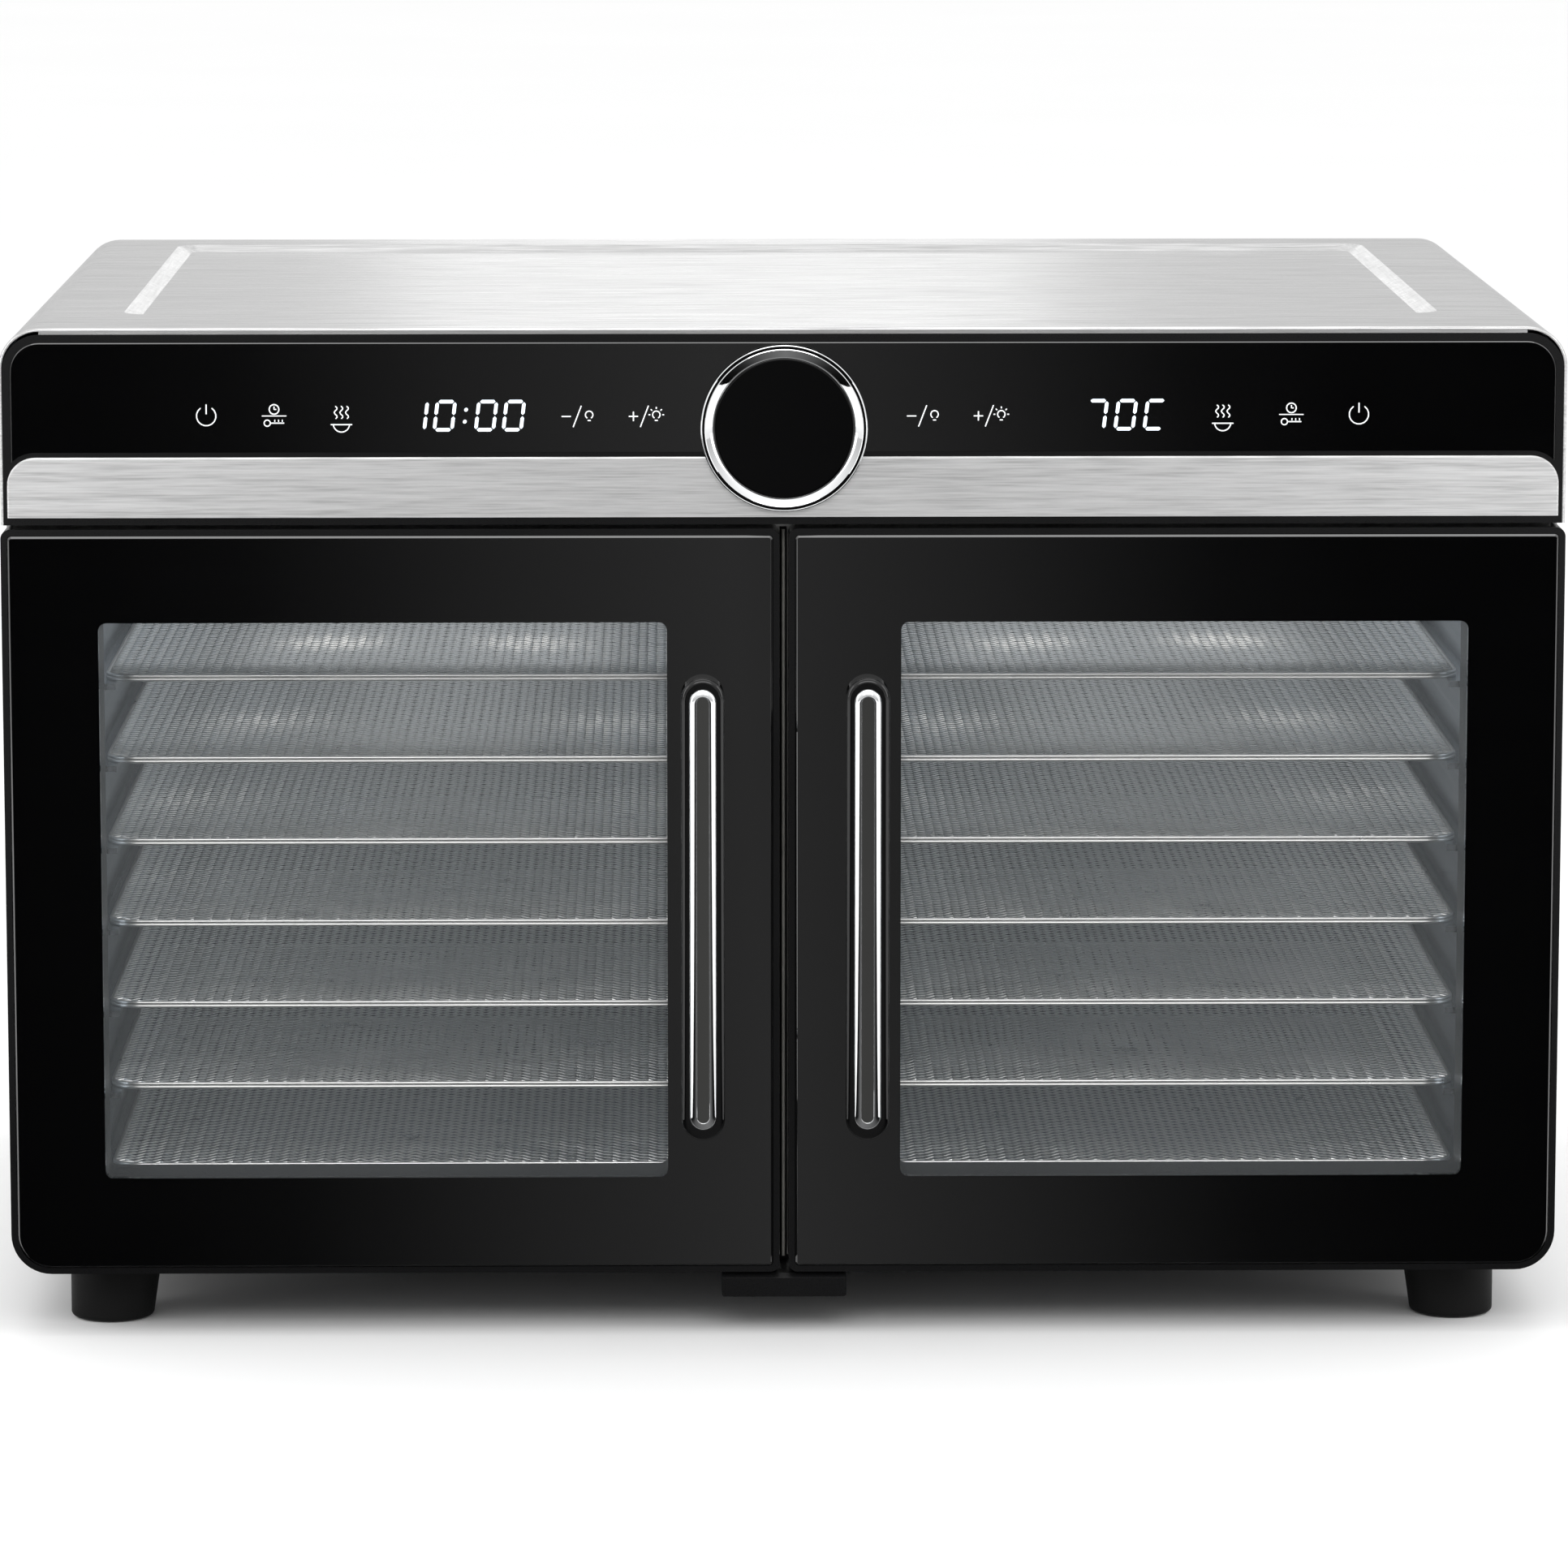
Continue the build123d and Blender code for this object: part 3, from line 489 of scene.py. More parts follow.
# Chrome tinted dark: a painted reflection of the dark ground in front, worn by the handle trim's flat
# middle.
DARK_REFLECTION_CHROME = Polished("chrome_painted_reflection", (0.30, 0.30, 0.29), 0.06)
ZINC = Polished("zinc_plate", (0.62, 0.63, 0.65), 0.28)
FAN_METAL = Polished("fan_metal", (0.66, 0.67, 0.68), 0.3)
SHEATH = Heated("heater_sheath", (0.34, 0.31, 0.28), 0.4)
COAT = Moulded("powder_coat", (0.018, 0.018, 0.020), 0.5, 1800.0, 0.00006, 0.3)
BLACK_PLASTIC = Moulded("moulded_black", (0.004, 0.004, 0.0043), 0.3, 3000.0, 0.00001, 0.2)
RUBBER = Moulded("foot_rubber", (0.005, 0.005, 0.005), 0.6, 1500.0, 0.00005, 0.12)
MAGNET = Moulded("magnet_grey", (0.05, 0.05, 0.053), 0.45)
BEAD = Moulded("bead_grey", (0.46, 0.45, 0.42), 0.4)
MOTOR_COAT = Moulded("motor_zinc", (0.28, 0.285, 0.29), 0.4)
FACE_GLASS = Glossy("printed_glass", (0.0008, 0.0008, 0.0009), 0.02, 1.0, 1.0)
GRIP_GLOSS = Glossy("grip_black", (0.0015, 0.0015, 0.0016), 0.05, 0.5)
DISC_GLOSS = Glossy("badge_black", (0.0006, 0.0006, 0.0007), 0.03, 0.25)
PANE = ClearPane("clear_pane", (0.30, 0.32, 0.33), 0.02, 0.07)
SIGN = Glow("panel_sign", grey(0.6), 0.4, 0.7, (0.93, 0.96, 1.0))
DIGITS = Glow("panel_digits", grey(0.6), 0.4, 1.1, (0.72, 0.86, 1.0))
LENS = Glow("lamp_lens_glow", grey(0.9), 0.3, 1.8, (1.0, 0.98, 0.94))
GREEN_BOARD = Board("green_board", (0.008, 0.05, 0.018), 0.35)


# ------------------------------------------------------------------ modelling bench
class Bench:
    """The modelling operators, each with its selection set first."""

    @staticmethod
    def only(obj: Piece) -> Piece:
        """Select one object alone and make it active.

        Args:
            obj: the object.

        Returns:
            The same object.
        """
        bpy.ops.object.select_all(action="DESELECT")
        obj.select_set(True)
        bpy.context.view_layer.objects.active = obj
        return obj

    @staticmethod
    def settle(name: str) -> Piece:
        """Name the active object and move its place into its mesh.

        Args:
            name: the piece's name.

        Returns:
            The piece.
        """
        obj = bpy.context.active_object
        obj.name = name
        obj.data.name = name
        Bench.only(obj)
        bpy.ops.object.transform_apply(location=True, rotation=True, scale=True)
        return obj

    @staticmethod
    def box(name: str, low: Point, high: Point) -> Piece:
        """Add a box between two corners.

        Args:
            name: the piece's name.
            low: its lowest corner.
            high: its highest corner.

        Returns:
            The box.
        """
        low, high = Vector(low), Vector(high)
        bpy.ops.object.select_all(action="DESELECT")
        bpy.ops.mesh.primitive_cube_add(size=1.0, location=(low + high) / 2, scale=high - low)
        return Bench.settle(name)

    @staticmethod
    def disc(
        name: str, centre: Point, radius: float, depth: float, axis: Axis, sides: int = 96
    ) -> Piece:
        """Add a cylinder about an axis.

        Args:
            name: the piece's name.
            centre: its middle.
            radius: its radius.
            depth: its length along the axis.
            axis: the axis that it turns about.
            sides: number of sides.

        Returns:
            The cylinder.
        """
        turn = {Axis.X: (0, math.pi / 2, 0), Axis.Y: (math.pi / 2, 0, 0), Axis.Z: (0, 0, 0)}[axis]
        bpy.ops.object.select_all(action="DESELECT")
        bpy.ops.mesh.primitive_cylinder_add(
            vertices=sides, radius=radius, depth=depth, location=centre, rotation=turn
        )
        return Bench.settle(name)

    @staticmethod
    def clear(obj: Piece, edges: bool) -> bpy.types.Mesh:
        """Unselect a whole mesh, ready for edges or faces to be picked.

        Args:
            obj: the piece.
            edges: whether edges will be picked, rather than faces.

        Returns:
            Its mesh.
        """
        Bench.only(obj)
        bpy.context.tool_settings.mesh_select_mode = (False, edges, not edges)
        mesh = obj.data
        for part in (mesh.vertices, mesh.edges, mesh.polygons):
            part.foreach_set("select", [False] * len(part))
        return mesh

    @staticmethod
    def pick_edges(obj: Piece, test: Test) -> None:
        """Open an object in edit mode with some edges selected.

        Args:
            obj: the piece.
            test: takes an edge's two ends.
        """
        mesh = Bench.clear(obj, True)
        for edge in mesh.edges:
            a, b = (mesh.vertices[i].co for i in edge.vertices)
            edge.select = test(a, b)
        bpy.ops.object.mode_set(mode="EDIT")

    @staticmethod
    def pick_faces(obj: Piece, test: Test) -> None:
        """Open an object in edit mode with some faces selected.

        Args:
            obj: the piece.
            test: takes a face's middle and normal.
        """
        mesh = Bench.clear(obj, False)
        for face in mesh.polygons:
            face.select = test(face.center, face.normal)
        bpy.ops.object.mode_set(mode="EDIT")

    @staticmethod
    def close() -> None:
        """Leave edit mode."""
        bpy.ops.object.mode_set(mode="OBJECT")

    @staticmethod
    def bevel(
        obj: Piece, test: Test, width: float, segments: int = 1, profile: float = 0.5
    ) -> None:
        """Bevel the edges whose ends pass a test.

        Args:
            obj: the piece.
            test: takes an edge's two ends.
            width: size of the bevel.
            segments: number of steps in it.
            profile: its roundness.
        """
        Bench.pick_edges(obj, test)
        bpy.ops.mesh.bevel(offset=width, segments=segments, profile=profile, affect="EDGES")
        Bench.close()

    @staticmethod
    def apply(obj: Piece, kind: str, **settings: object) -> None:
        """Add a modifier and apply it.

        Args:
            obj: the piece.
            kind: the modifier's kind.
            settings: its settings.
        """
        Bench.only(obj)
        modifier = obj.modifiers.new(kind.lower(), kind)
        for key, value in settings.items():
            setattr(modifier, key, value)
        bpy.ops.object.modifier_apply(modifier=modifier.name)

    @staticmethod
    def carve(obj: Piece, cutter: Piece) -> None:
        """Cut one piece out of another and throw the cutter away."""
        Bench.apply(obj, "BOOLEAN", operation="DIFFERENCE", solver="EXACT", object=cutter)
        bpy.data.objects.remove(cutter)

    @staticmethod
    def join(name: str, parts: Sequence[Piece]) -> Piece:
        """Join parts into one piece.

        Args:
            name: the piece's name.
            parts: what is joined.

        Returns:
            The piece.
        """
        bpy.ops.object.select_all(action="DESELECT")
        for part in parts:
            part.select_set(True)
        bpy.context.view_layer.objects.active = parts[0]
        if len(parts) > 1:
            bpy.ops.object.join()
        return Bench.settle(name)

    @staticmethod
    def copy(obj: Piece, name: str, shift: Point) -> Piece:
        """Copy a piece with its own mesh.

        Args:
            obj: the piece.
            name: the copy's name.
            shift: how far the copy moves.

        Returns:
            The copy.
        """
        Bench.only(obj)
        bpy.ops.object.duplicate(linked=False)
        twin = bpy.context.active_object
        twin.location = shift
        return Bench.settle(name)

    @staticmethod
    def smooth(obj: Piece, degrees: float = 35.0) -> Piece:
        """Shade a piece smooth, but for its sharp edges.

        Args:
            obj: the piece.
            degrees: the angle from which an edge is sharp.

        Returns:
            The piece.
        """
        Bench.only(obj)
        bpy.ops.object.shade_smooth_by_angle(angle=math.radians(degrees))
        return obj

    @staticmethod
    def merge(obj: Piece, distance: float) -> None:
        """Merge near points and turn every face outwards.

        Args:
            obj: the piece.
            distance: how near points are merged.
        """
        Bench.only(obj)
        bpy.ops.object.mode_set(mode="EDIT")
        bpy.ops.mesh.select_all(action="SELECT")
        bpy.ops.mesh.remove_doubles(threshold=distance)
        bpy.ops.mesh.normals_make_consistent(inside=False)
        Bench.close()


def upright(a: Vector, b: Vector) -> bool:
    """Return whether an edge runs along Z."""
    return abs(a.x - b.x) + abs(a.y - b.y) < 1e-6


def deep(a: Vector, b: Vector) -> bool:
    """Return whether an edge runs along Y."""
    return abs(a.x - b.x) + abs(a.z - b.z) < 1e-6


def at_depth(y: float) -> Test:
    """Return a test for edges that lie at one depth."""
    return lambda a, b: abs(a.y - y) < 1e-6 and abs(b.y - y) < 1e-6


def facing_front(_spot: Vector, normal: Vector) -> bool:
    """Return whether a face looks to the front."""
    return normal.y < -0.9


def dress(obj: Piece, finish: Finish) -> Piece:
    """Give an object one finish all over.

    Args:
        obj: the object.
        finish: what it wears.

    Returns:
        The object.
    """
    obj.data.materials.clear()
    obj.data.materials.append(finish.material())
    return obj


def fit(
    obj: Piece, body: str, finish: Finish, stands_for: Iterable[str] = ()
) -> None:
    """Dress a finished piece, let it ride and report it.

    Args:
        obj: the piece.
        body: the body that it moves with.
        finish: what it wears.
        stands_for: the frame's nodes that it replaces.
    """
    dress(obj, finish)
    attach(obj, body)
    if stands_for:
        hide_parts(*stands_for)
    log.info("%s rides on %s, %d faces", obj.name, body, len(obj.data.polygons))


def dress_node(node: str, finish: Finish) -> None:
    """Give a frame node its finish."""
    dress(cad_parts[node], finish)


# ------------------------------------------------------------------ trays
@dataclass
class TraySet:
    """Fourteen trays: a rim of two rolled beads around expanded steel mesh."""

    corner: float = 10 * MM
    bead: float = 0.62 * MM
    cell: tuple[float, float] = (6.0 * MM, 4.6 * MM)
    strand: float = 0.5 * MM
    ripple: float = 0.3 * MM
    uneven: float = 0.06 * MM
    waves: tuple[float, float] = (7919.0, 6271.0)
    margin: float = 1.2 * MM
    corner_steps: int = 8
    bead_lift: float = 0.9

    def bead_ring(self, name: str, low: Vector, high: Vector, z: float) -> Piece:
        """Make one rolled bead: a round bar bent round the tray's outline.

        Args:
            name: the bead's name.
            low: the tray's lowest corner.
            high: its highest corner.
            z: height of the bar's middle.

        Returns:
            The bead.
        """
        inset = self.bead
        bpy.ops.object.select_all(action="DESELECT")
        centre = ((low.x + high.x) / 2, (low.y + high.y) / 2, z)
        bpy.ops.mesh.primitive_plane_add(size=1.0, location=centre)
        ring = bpy.context.active_object
        ring.scale = (high.x - low.x - 2 * inset, high.y - low.y - 2 * inset, 1.0)
        ring = Bench.settle(name)
        bpy.context.tool_settings.mesh_select_mode = (True, False, False)
        bpy.ops.object.mode_set(mode="EDIT")
        bpy.ops.mesh.select_all(action="SELECT")
        bpy.ops.mesh.bevel(
            offset=self.corner - inset, segments=self.corner_steps, affect="VERTICES"
        )
        bpy.ops.mesh.select_all(action="SELECT")
        bpy.ops.mesh.delete(type="ONLY_FACE")
        Bench.close()
        bpy.ops.object.convert(target="CURVE")
        ring.data.dimensions = "3D"
        ring.data.bevel_depth = self.bead
        ring.data.bevel_resolution = 2
        bpy.ops.object.convert(target="MESH")
        return ring

    def round_corners(self, sheet: Piece, centre: Vector, wide: float, long: float) -> None:
        """Delete the grid's cells that lie outside the tray's rounded corners.

        Args:
            sheet: the grid.
            centre: its middle.
            wide: its size along X.
            long: its size along Y.
        """
        reach = Vector((wide / 2 - self.corner, long / 2 - self.corner))

        def outside(spot: Vector, _normal: Vector) -> bool:
            """Return whether a cell's middle lies past a rounded corner."""
            past_x = abs(spot.x - centre.x) - reach.x
            past_y = abs(spot.y - centre.y) - reach.y
            return past_x > 0 and past_y > 0 and math.hypot(past_x, past_y) > self.corner

        Bench.pick_faces(sheet, outside)
        bpy.ops.mesh.delete(type="FACE")

    def open_diamonds(self, sheet: Piece, straight: float) -> None:
        """Poke the cells and dissolve the grid's inner lines, which leaves diamonds.

        Args:
            sheet: the grid, in edit mode.
            straight: how far the ends of a line along X or Y may differ across it.
        """
        bpy.ops.mesh.select_all(action="SELECT")
        bpy.ops.mesh.poke()
        Bench.close()
        uses: dict[tuple[int, int], int] = {}
        for face in sheet.data.polygons:
            for key in face.edge_keys:
                uses[key] = uses.get(key, 0) + 1
        mesh = Bench.clear(sheet, True)
        for edge in mesh.edges:
            a, b = (mesh.vertices[i].co for i in edge.vertices)
            square = abs(a.x - b.x) < straight or abs(a.y - b.y) < straight
            edge.select = square and uses.get(tuple(edge.key), 0) == 2
        bpy.ops.object.mode_set(mode="EDIT")
        bpy.ops.mesh.dissolve_edges(use_verts=False)
        Bench.close()

    def mesh_sheet(self, name: str, low: Vector, high: Vector, z: float) -> Piece:
        """Make the expanded mesh: diamonds whose sides become rippled strands.

        Args:
            name: the sheet's name.
            low: the tray's lowest corner.
            high: its highest corner.
            z: height of the sheet.

        Returns:
            The sheet.
        """
        wide = high.x - low.x - 2 * self.margin
        long = high.y - low.y - 2 * self.margin
        columns, rows = round(wide / self.cell[0]), round(long / self.cell[1])
        centre = Vector(((low.x + high.x) / 2, (low.y + high.y) / 2, z))
        bpy.ops.object.select_all(action="DESELECT")
        bpy.ops.mesh.primitive_grid_add(
            x_subdivisions=columns, y_subdivisions=rows, size=1.0, location=centre
        )
        bpy.context.active_object.scale = (wide, long, 1.0)
        sheet = Bench.settle(name)
        self.round_corners(sheet, centre, wide, long)
        pitch = wide / columns
        self.open_diamonds(sheet, min(pitch, long / rows) / 4)
        for vertex in sheet.data.vertices:
            place = (vertex.co.x - low.x - self.margin) / pitch
            peak = abs(place - round(place)) > 0.25
            wobble = math.sin(vertex.co.x * self.waves[0]) * math.sin(vertex.co.y * self.waves[1])
            vertex.co.z += self.ripple * (0.5 if peak else -0.5) + self.uneven * wobble
        Bench.apply(
            sheet, "WIREFRAME", thickness=self.strand, use_even_offset=False, use_boundary=True
        )
        return sheet

    def build(self) -> None:
        """Model one tray, copy it to every ledge and hide the plain frame trays."""
        low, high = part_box("left_tray_1")
        middle = (low.z + high.z) / 2
        lower = self.bead_ring("lower_bead", low, high, middle - self.bead * self.bead_lift)
        upper = self.bead_ring("upper_bead", low, high, middle + self.bead * self.bead_lift)
        sheet = self.mesh_sheet("mesh_sheet", low, high, high.z - self.bead)
        master = Bench.join("left_steel_tray_1", [lower, upper, sheet])
        Bench.smooth(master, 50.0)
        for side in SIDES:
            for number in range(1, TRAYS_PER_SIDE + 1):
                node = f"{side}_tray_{number}"
                name = f"{side}_steel_tray_{number}"
                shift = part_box(node)[0] - low
                piece = Bench.copy(master, name, shift) if shift.length > TOUCH else master
                fit(piece, f"{side}_shelf_{number}", TRAY_STEEL, [node])


# ------------------------------------------------------------------ doors
@dataclass
class Door:
    """One glazed door: printed face glass, clear pane, handle trim and moulded frame."""

    side: str
    big_corner: float = 11 * MM
    small_corner: float = 1.5 * MM
    edge: float = 0.8 * MM
    window_corner: float = 2.6 * MM
    window_x: tuple[float, float] = (37.5 * MM, 219.2 * MM)
    window_z: tuple[float, float] = (51.9 * MM, 232.8 * MM)
    pane_edge: float = 0.35 * MM
    trim_rise: float = 1.5 * MM
    trim_flank: float = 2.1 * MM
    trim_turns: int = 7
    trim_sides: int = 14
    # steps round the handle's flat middle, which is tinted dark as a painted reflection
    dark_band_lip: float = 0.12 * MM
    dark_band_wall: float = 0.1 * MM
    dark_band_depth: float = 0.12 * MM
    dark_band_edge: float = 0.08 * MM

    @property
    def body(self) -> str:
        """The body that the door's pieces ride on."""
        return f"{self.side}_door"

    def window_box(self, name: str, front: float, back: float) -> Piece:
        """Make a block of the window's outline.

        Args:
            name: the block's name.
            front: depth of its front.
            back: depth of its back.

        Returns:
            The block.
        """
        sign = SIDES[self.side]
        xs = sorted(sign * x for x in self.window_x)
        block = Bench.box(name, (xs[0], front, self.window_z[0]), (xs[1], back, self.window_z[1]))
        Bench.bevel(block, deep, self.window_corner, 5)
        return block

    def face_glass(self) -> None:
        """Make the printed glass with its polished edge and window opening."""
        node = f"{self.side}_door_glass"
        low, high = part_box(node)
        face = Bench.box(f"{self.side}_face_glass", low, high)
        sign = SIDES[self.side]
        outer = max(sign * low.x, sign * high.x) * sign
        Bench.bevel(
            face,
            lambda a, b: deep(a, b) and abs(a.x - outer) < TOUCH and abs(a.z - low.z) < TOUCH,
            self.big_corner, 12,
        )
        corners = {(round(x, 5), round(z, 5)) for x in (low.x, high.x) for z in (low.z, high.z)}
        Bench.bevel(
            face,
            lambda a, b: deep(a, b) and (round(a.x, 5), round(a.z, 5)) in corners,
            self.small_corner, 4,
        )
        Bench.bevel(face, at_depth(low.y), self.edge, 1)
        Bench.carve(face, self.window_box("window_cutter", low.y - 0.01, high.y + 0.01))
        Bench.smooth(face, 20.0)
        fit(face, self.body, FACE_GLASS, [node])
        pane = self.window_box(f"{self.side}_window_pane", low.y, high.y)
        Bench.bevel(pane, at_depth(low.y), self.pane_edge, 2)
        Bench.smooth(pane, 30.0)
        fit(pane, self.body, PANE)

    def handle_trim(self) -> None:
        """Make the handle's chrome: a capsule with rounded flanks and a slightly sunk flat middle, whose
        dark tint is a painted reflection.
        """
        node = f"{self.side}_handle_trim"
        low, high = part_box(node)
        shoulder = low.y + self.trim_rise
        trim = Bench.box(f"{self.side}_handle_chrome", (low.x, shoulder, low.z), high)
        Bench.bevel(trim, deep, (high.x - low.x) / 2 * 0.995, self.trim_sides)
        Bench.merge(trim, 0.1 * MM)
        Bench.pick_faces(trim, facing_front)
        turns = [math.pi / 2 * step / self.trim_turns for step in range(self.trim_turns + 1)]
        for before, after in zip(turns, turns[1:]):
            inward = self.trim_flank * (math.cos(before) - math.cos(after))
            rise = self.trim_rise * (math.sin(after) - math.sin(before))
            bpy.ops.mesh.inset(thickness=inward, depth=rise)
        bpy.ops.mesh.inset(thickness=self.dark_band_lip)
        bpy.ops.mesh.inset(thickness=self.dark_band_wall, depth=-self.dark_band_depth)
        bpy.ops.mesh.inset(thickness=self.dark_band_edge)
        Bench.close()
        Bench.smooth(trim, 50.0)
        fit(trim, self.body, CHROME, [node])
        # The flat middle is tinted dark: a painted reflection of the dark ground in front.
        trim.data.materials.append(DARK_REFLECTION_CHROME.material())
        dark_band = max(trim.data.polygons, key=lambda face: face.area * (face.normal.y < -0.99))
        dark_band.material_index = 1
        for handle in (trim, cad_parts[f"{self.side}_handle_grip"]):
            handle.visible_glossy = False

    def build(self) -> None:
        """Make the door's new pieces and dress its frame nodes."""
        self.face_glass()
        self.handle_trim()
        for part, finish in (
            ("door_frame", BLACK_PLASTIC), ("door_seal", RUBBER), ("handle_grip", GRIP_GLOSS),
            ("door_screws", ZINC), ("hinge_pins", ZINC),
        ):
            dress_node(f"{self.side}_{part}", finish)


# ------------------------------------------------------------------ badge
@dataclass
class Badge:
    """The plain round badge: chrome rim, dark groove, chrome band and glossy disc."""

    sides: int = 128
    rim: tuple[tuple[float, float], ...] = (
        (0.25 * MM, -0.25 * MM), (0.2 * MM, 0.1 * MM), (0.05 * MM, 0.9 * MM), (0.7 * MM, 0.0),
        (0.05 * MM, -1.0 * MM), (0.25 * MM, -0.1 * MM), (1.0 * MM, 0.42 * MM), (1.0 * MM, 0.5 * MM),
        (0.25 * MM, 0.2 * MM), (0.1 * MM, 1.2 * MM),
    )
    crown: tuple[tuple[float, float], ...] = (
        (0.2 * MM, -0.15 * MM), (0.3 * MM, -0.05 * MM), (0.3 * MM, 0.0),
    )
    rim_drop: float = 0.5 * MM
    crown_drop: float = 0.7 * MM
    gap: float = 0.02 * MM
    groove: tuple[float, float] = (1.35 * MM, 0.55 * MM)

    def stepped(
        self, name: str, centre: Vector, radius: float, front: float, back: float,
        steps: Sequence[tuple[float, float]],
    ) -> Piece:
        """Turn a disc whose front face is inset and pushed in steps.

        Args:
            name: the piece's name.
            centre: the disc's middle; its depth isn't used.
            radius: its outer radius.
            front: depth of its first front face.
            back: depth of its back.
            steps: pairs of inset and push towards the back.

        Returns:
            The disc.
        """
        middle = (centre.x, (front + back) / 2, centre.z)
        disc = Bench.disc(name, middle, radius, back - front, Axis.Y, self.sides)
        Bench.pick_faces(disc, facing_front)
        for inset, push in steps:
            bpy.ops.mesh.inset(thickness=inset, depth=-push)
        Bench.close()
        return disc

    def blacken_groove(self, ring: Piece, centre: Vector, radius: float) -> None:
        """Paint the groove between the rim and the band black: painted shade in the deep groove, standing
        in part for a black base there.

        Args:
            ring: the bezel.
            centre: its middle.
            radius: its outer radius.
        """
        # The groove's black is painted shade, and in part also a black base behind the ring.
        ring.data.materials.append(DISC_GLOSS.material())
        for face in ring.data.polygons:
            reach = math.hypot(face.center.x - centre.x, face.center.z - centre.z)
            if radius - self.groove[0] < reach < radius - self.groove[1]:
                face.material_index = 1

    def build(self) -> None:
        """Make the ring and the disc."""
        low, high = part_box("badge_ring")
        centre = (low + high) / 2
        radius = (high.x - low.x) / 2
        disc_low, disc_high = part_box("badge_disc")
        front = low.y + self.rim_drop
        ring = self.stepped("badge_bezel", centre, radius, front, high.y, self.rim)
        Bench.smooth(ring, 40.0)
        fit(ring, "root", CHROME, ["badge_ring"])
        self.blacken_groove(ring, centre, radius)
        face = self.stepped(
            "badge_face", centre, (disc_high.x - disc_low.x) / 2 - self.gap,
            disc_low.y + self.crown_drop, disc_high.y, self.crown,
        )
        Bench.smooth(face, 40.0)
        fit(face, "root", DISC_GLOSS, ["badge_disc"])


# ------------------------------------------------------------------ control panel signs
@dataclass
class ControlPanel:
    """Lit signs and number displays behind the black control glass."""

    stroke: float = 0.21 * MM
    lift: float = 0.12 * MM
    digit_high: float = 9.0 * MM
    digit_wide: float = 5.6 * MM
    bar: float = 1.1 * MM
    slant: float = 0.12
    row: float = 299.0 * MM
    bar_point: float = 0.9
    bar_back: float = 0.1 * MM
    bar_front: float = 0.25 * MM
    dot: tuple[float, float] = (0.6 * MM, 0.35 * MM)
    dot_rise: float = 1.9 * MM
    dot_lift: float = 0.07 * MM
    power_x: tuple[float, float] = (-184.0 * MM, 183.5 * MM)
    clock_x: tuple[float, float] = (-162.4 * MM, 161.9 * MM)
    warm_x: tuple[float, float] = (-141.0 * MM, 140.0 * MM)
    minus_x: tuple[float, float] = (-66.0 * MM, 44.1 * MM)
    plus_x: tuple[float, float] = (-44.6 * MM, 65.4 * MM)
    time_place: tuple[float, float] = (-101.5 * MM, 8.8 * MM)
    heat_place: tuple[float, float] = (109.0 * MM, 9.3 * MM)

    SEGMENTS = {"0": "abcdef", "1": "bc", "7": "abc", "C": "adef"}

    @property
    def face(self) -> float:
        """Depth of the control glass's front."""
        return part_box("control_glass")[0].y

    def line(
        self, points: Sequence[tuple[float, float]], closed: bool = False, width: float = 1.0
    ) -> Piece:
        """Make one round stroke through points on the panel.

        Args:
            points: pairs of across and height, in metres.
            closed: whether the stroke returns to its start.
            width: share of the usual stroke.

        Returns:
            The stroke as a mesh.
        """
        bpy.ops.object.select_all(action="DESELECT")
        bpy.ops.curve.primitive_nurbs_path_add()
        obj = bpy.context.active_object
        curve = obj.data
        curve.splines.clear()
        spline = curve.splines.new("POLY")
        spline.points.add(len(points) - 1)
        for point, (x, z) in zip(spline.points, points):
            point.co = (x, self.face - self.lift, z, 1.0)
        spline.use_cyclic_u = closed
        obj.location = (0, 0, 0)
        curve.bevel_depth = self.stroke * width
        curve.bevel_resolution = 1
        curve.use_fill_caps = True
        bpy.ops.object.convert(target="MESH")
        return bpy.context.active_object

    def arc(
        self, x: float, z: float, radius: float, start: float, stop: float, count: int = 14
    ) -> Piece:
        """Make a round stroke on an arc.

        Args:
            x: the arc's middle across the panel.
            z: height of its middle.
            radius: its radius.
            start: its first angle, in degrees from +X.
            stop: its last angle.
            count: number of points on it.

        Returns:
            The stroke.
        """
        span = stop - start
        full = abs(span) >= 360
        steps = count if full else count - 1
        angles = [math.radians(start + span * i / steps) for i in range(count)]
        points = [(x + radius * math.cos(a), z + radius * math.sin(a)) for a in angles]
        return self.line(points, closed=full)

    def power(self, x: float) -> list[Piece]:
        """Make the power sign.

        Args:
            x: middle of the sign.

        Returns:
            The strokes.
        """
        radius = 3.1 * MM
        return [
            self.arc(x, self.row, radius, 125, 415),
            self.line([(x, self.row + 0.6 * MM), (x, self.row + 3.7 * MM)]),
        ]

    def clock(self, x: float) -> list[Piece]:
        """Make the time and temperature sign: a clock over a thermometer.

        Args:
            x: middle of the sign.

        Returns:
            The strokes.
        """
        up = self.row + 2.1 * MM
        down = self.row - 2.3 * MM
        parts = [self.arc(x, up, 1.55 * MM, 0, 360, 16)]
        parts.append(self.line([(x, up + 0.9 * MM), (x, up), (x + 0.7 * MM, up)]))
        parts.append(self.line([(x - 3.9 * MM, self.row), (x + 3.9 * MM, self.row)], width=0.8))
        parts.append(self.arc(x - 2.2 * MM, down, 1.0 * MM, 0, 360, 12))
        parts.append(self.line([(x - 1.2 * MM, down), (x + 3.2 * MM, down)]))
        for step in range(3):
            mark = x + (0.2 + step * 1.2) * MM
            parts.append(self.line([(mark, down + 0.4 * MM), (mark, down + 1.1 * MM)], width=0.8))
        return parts

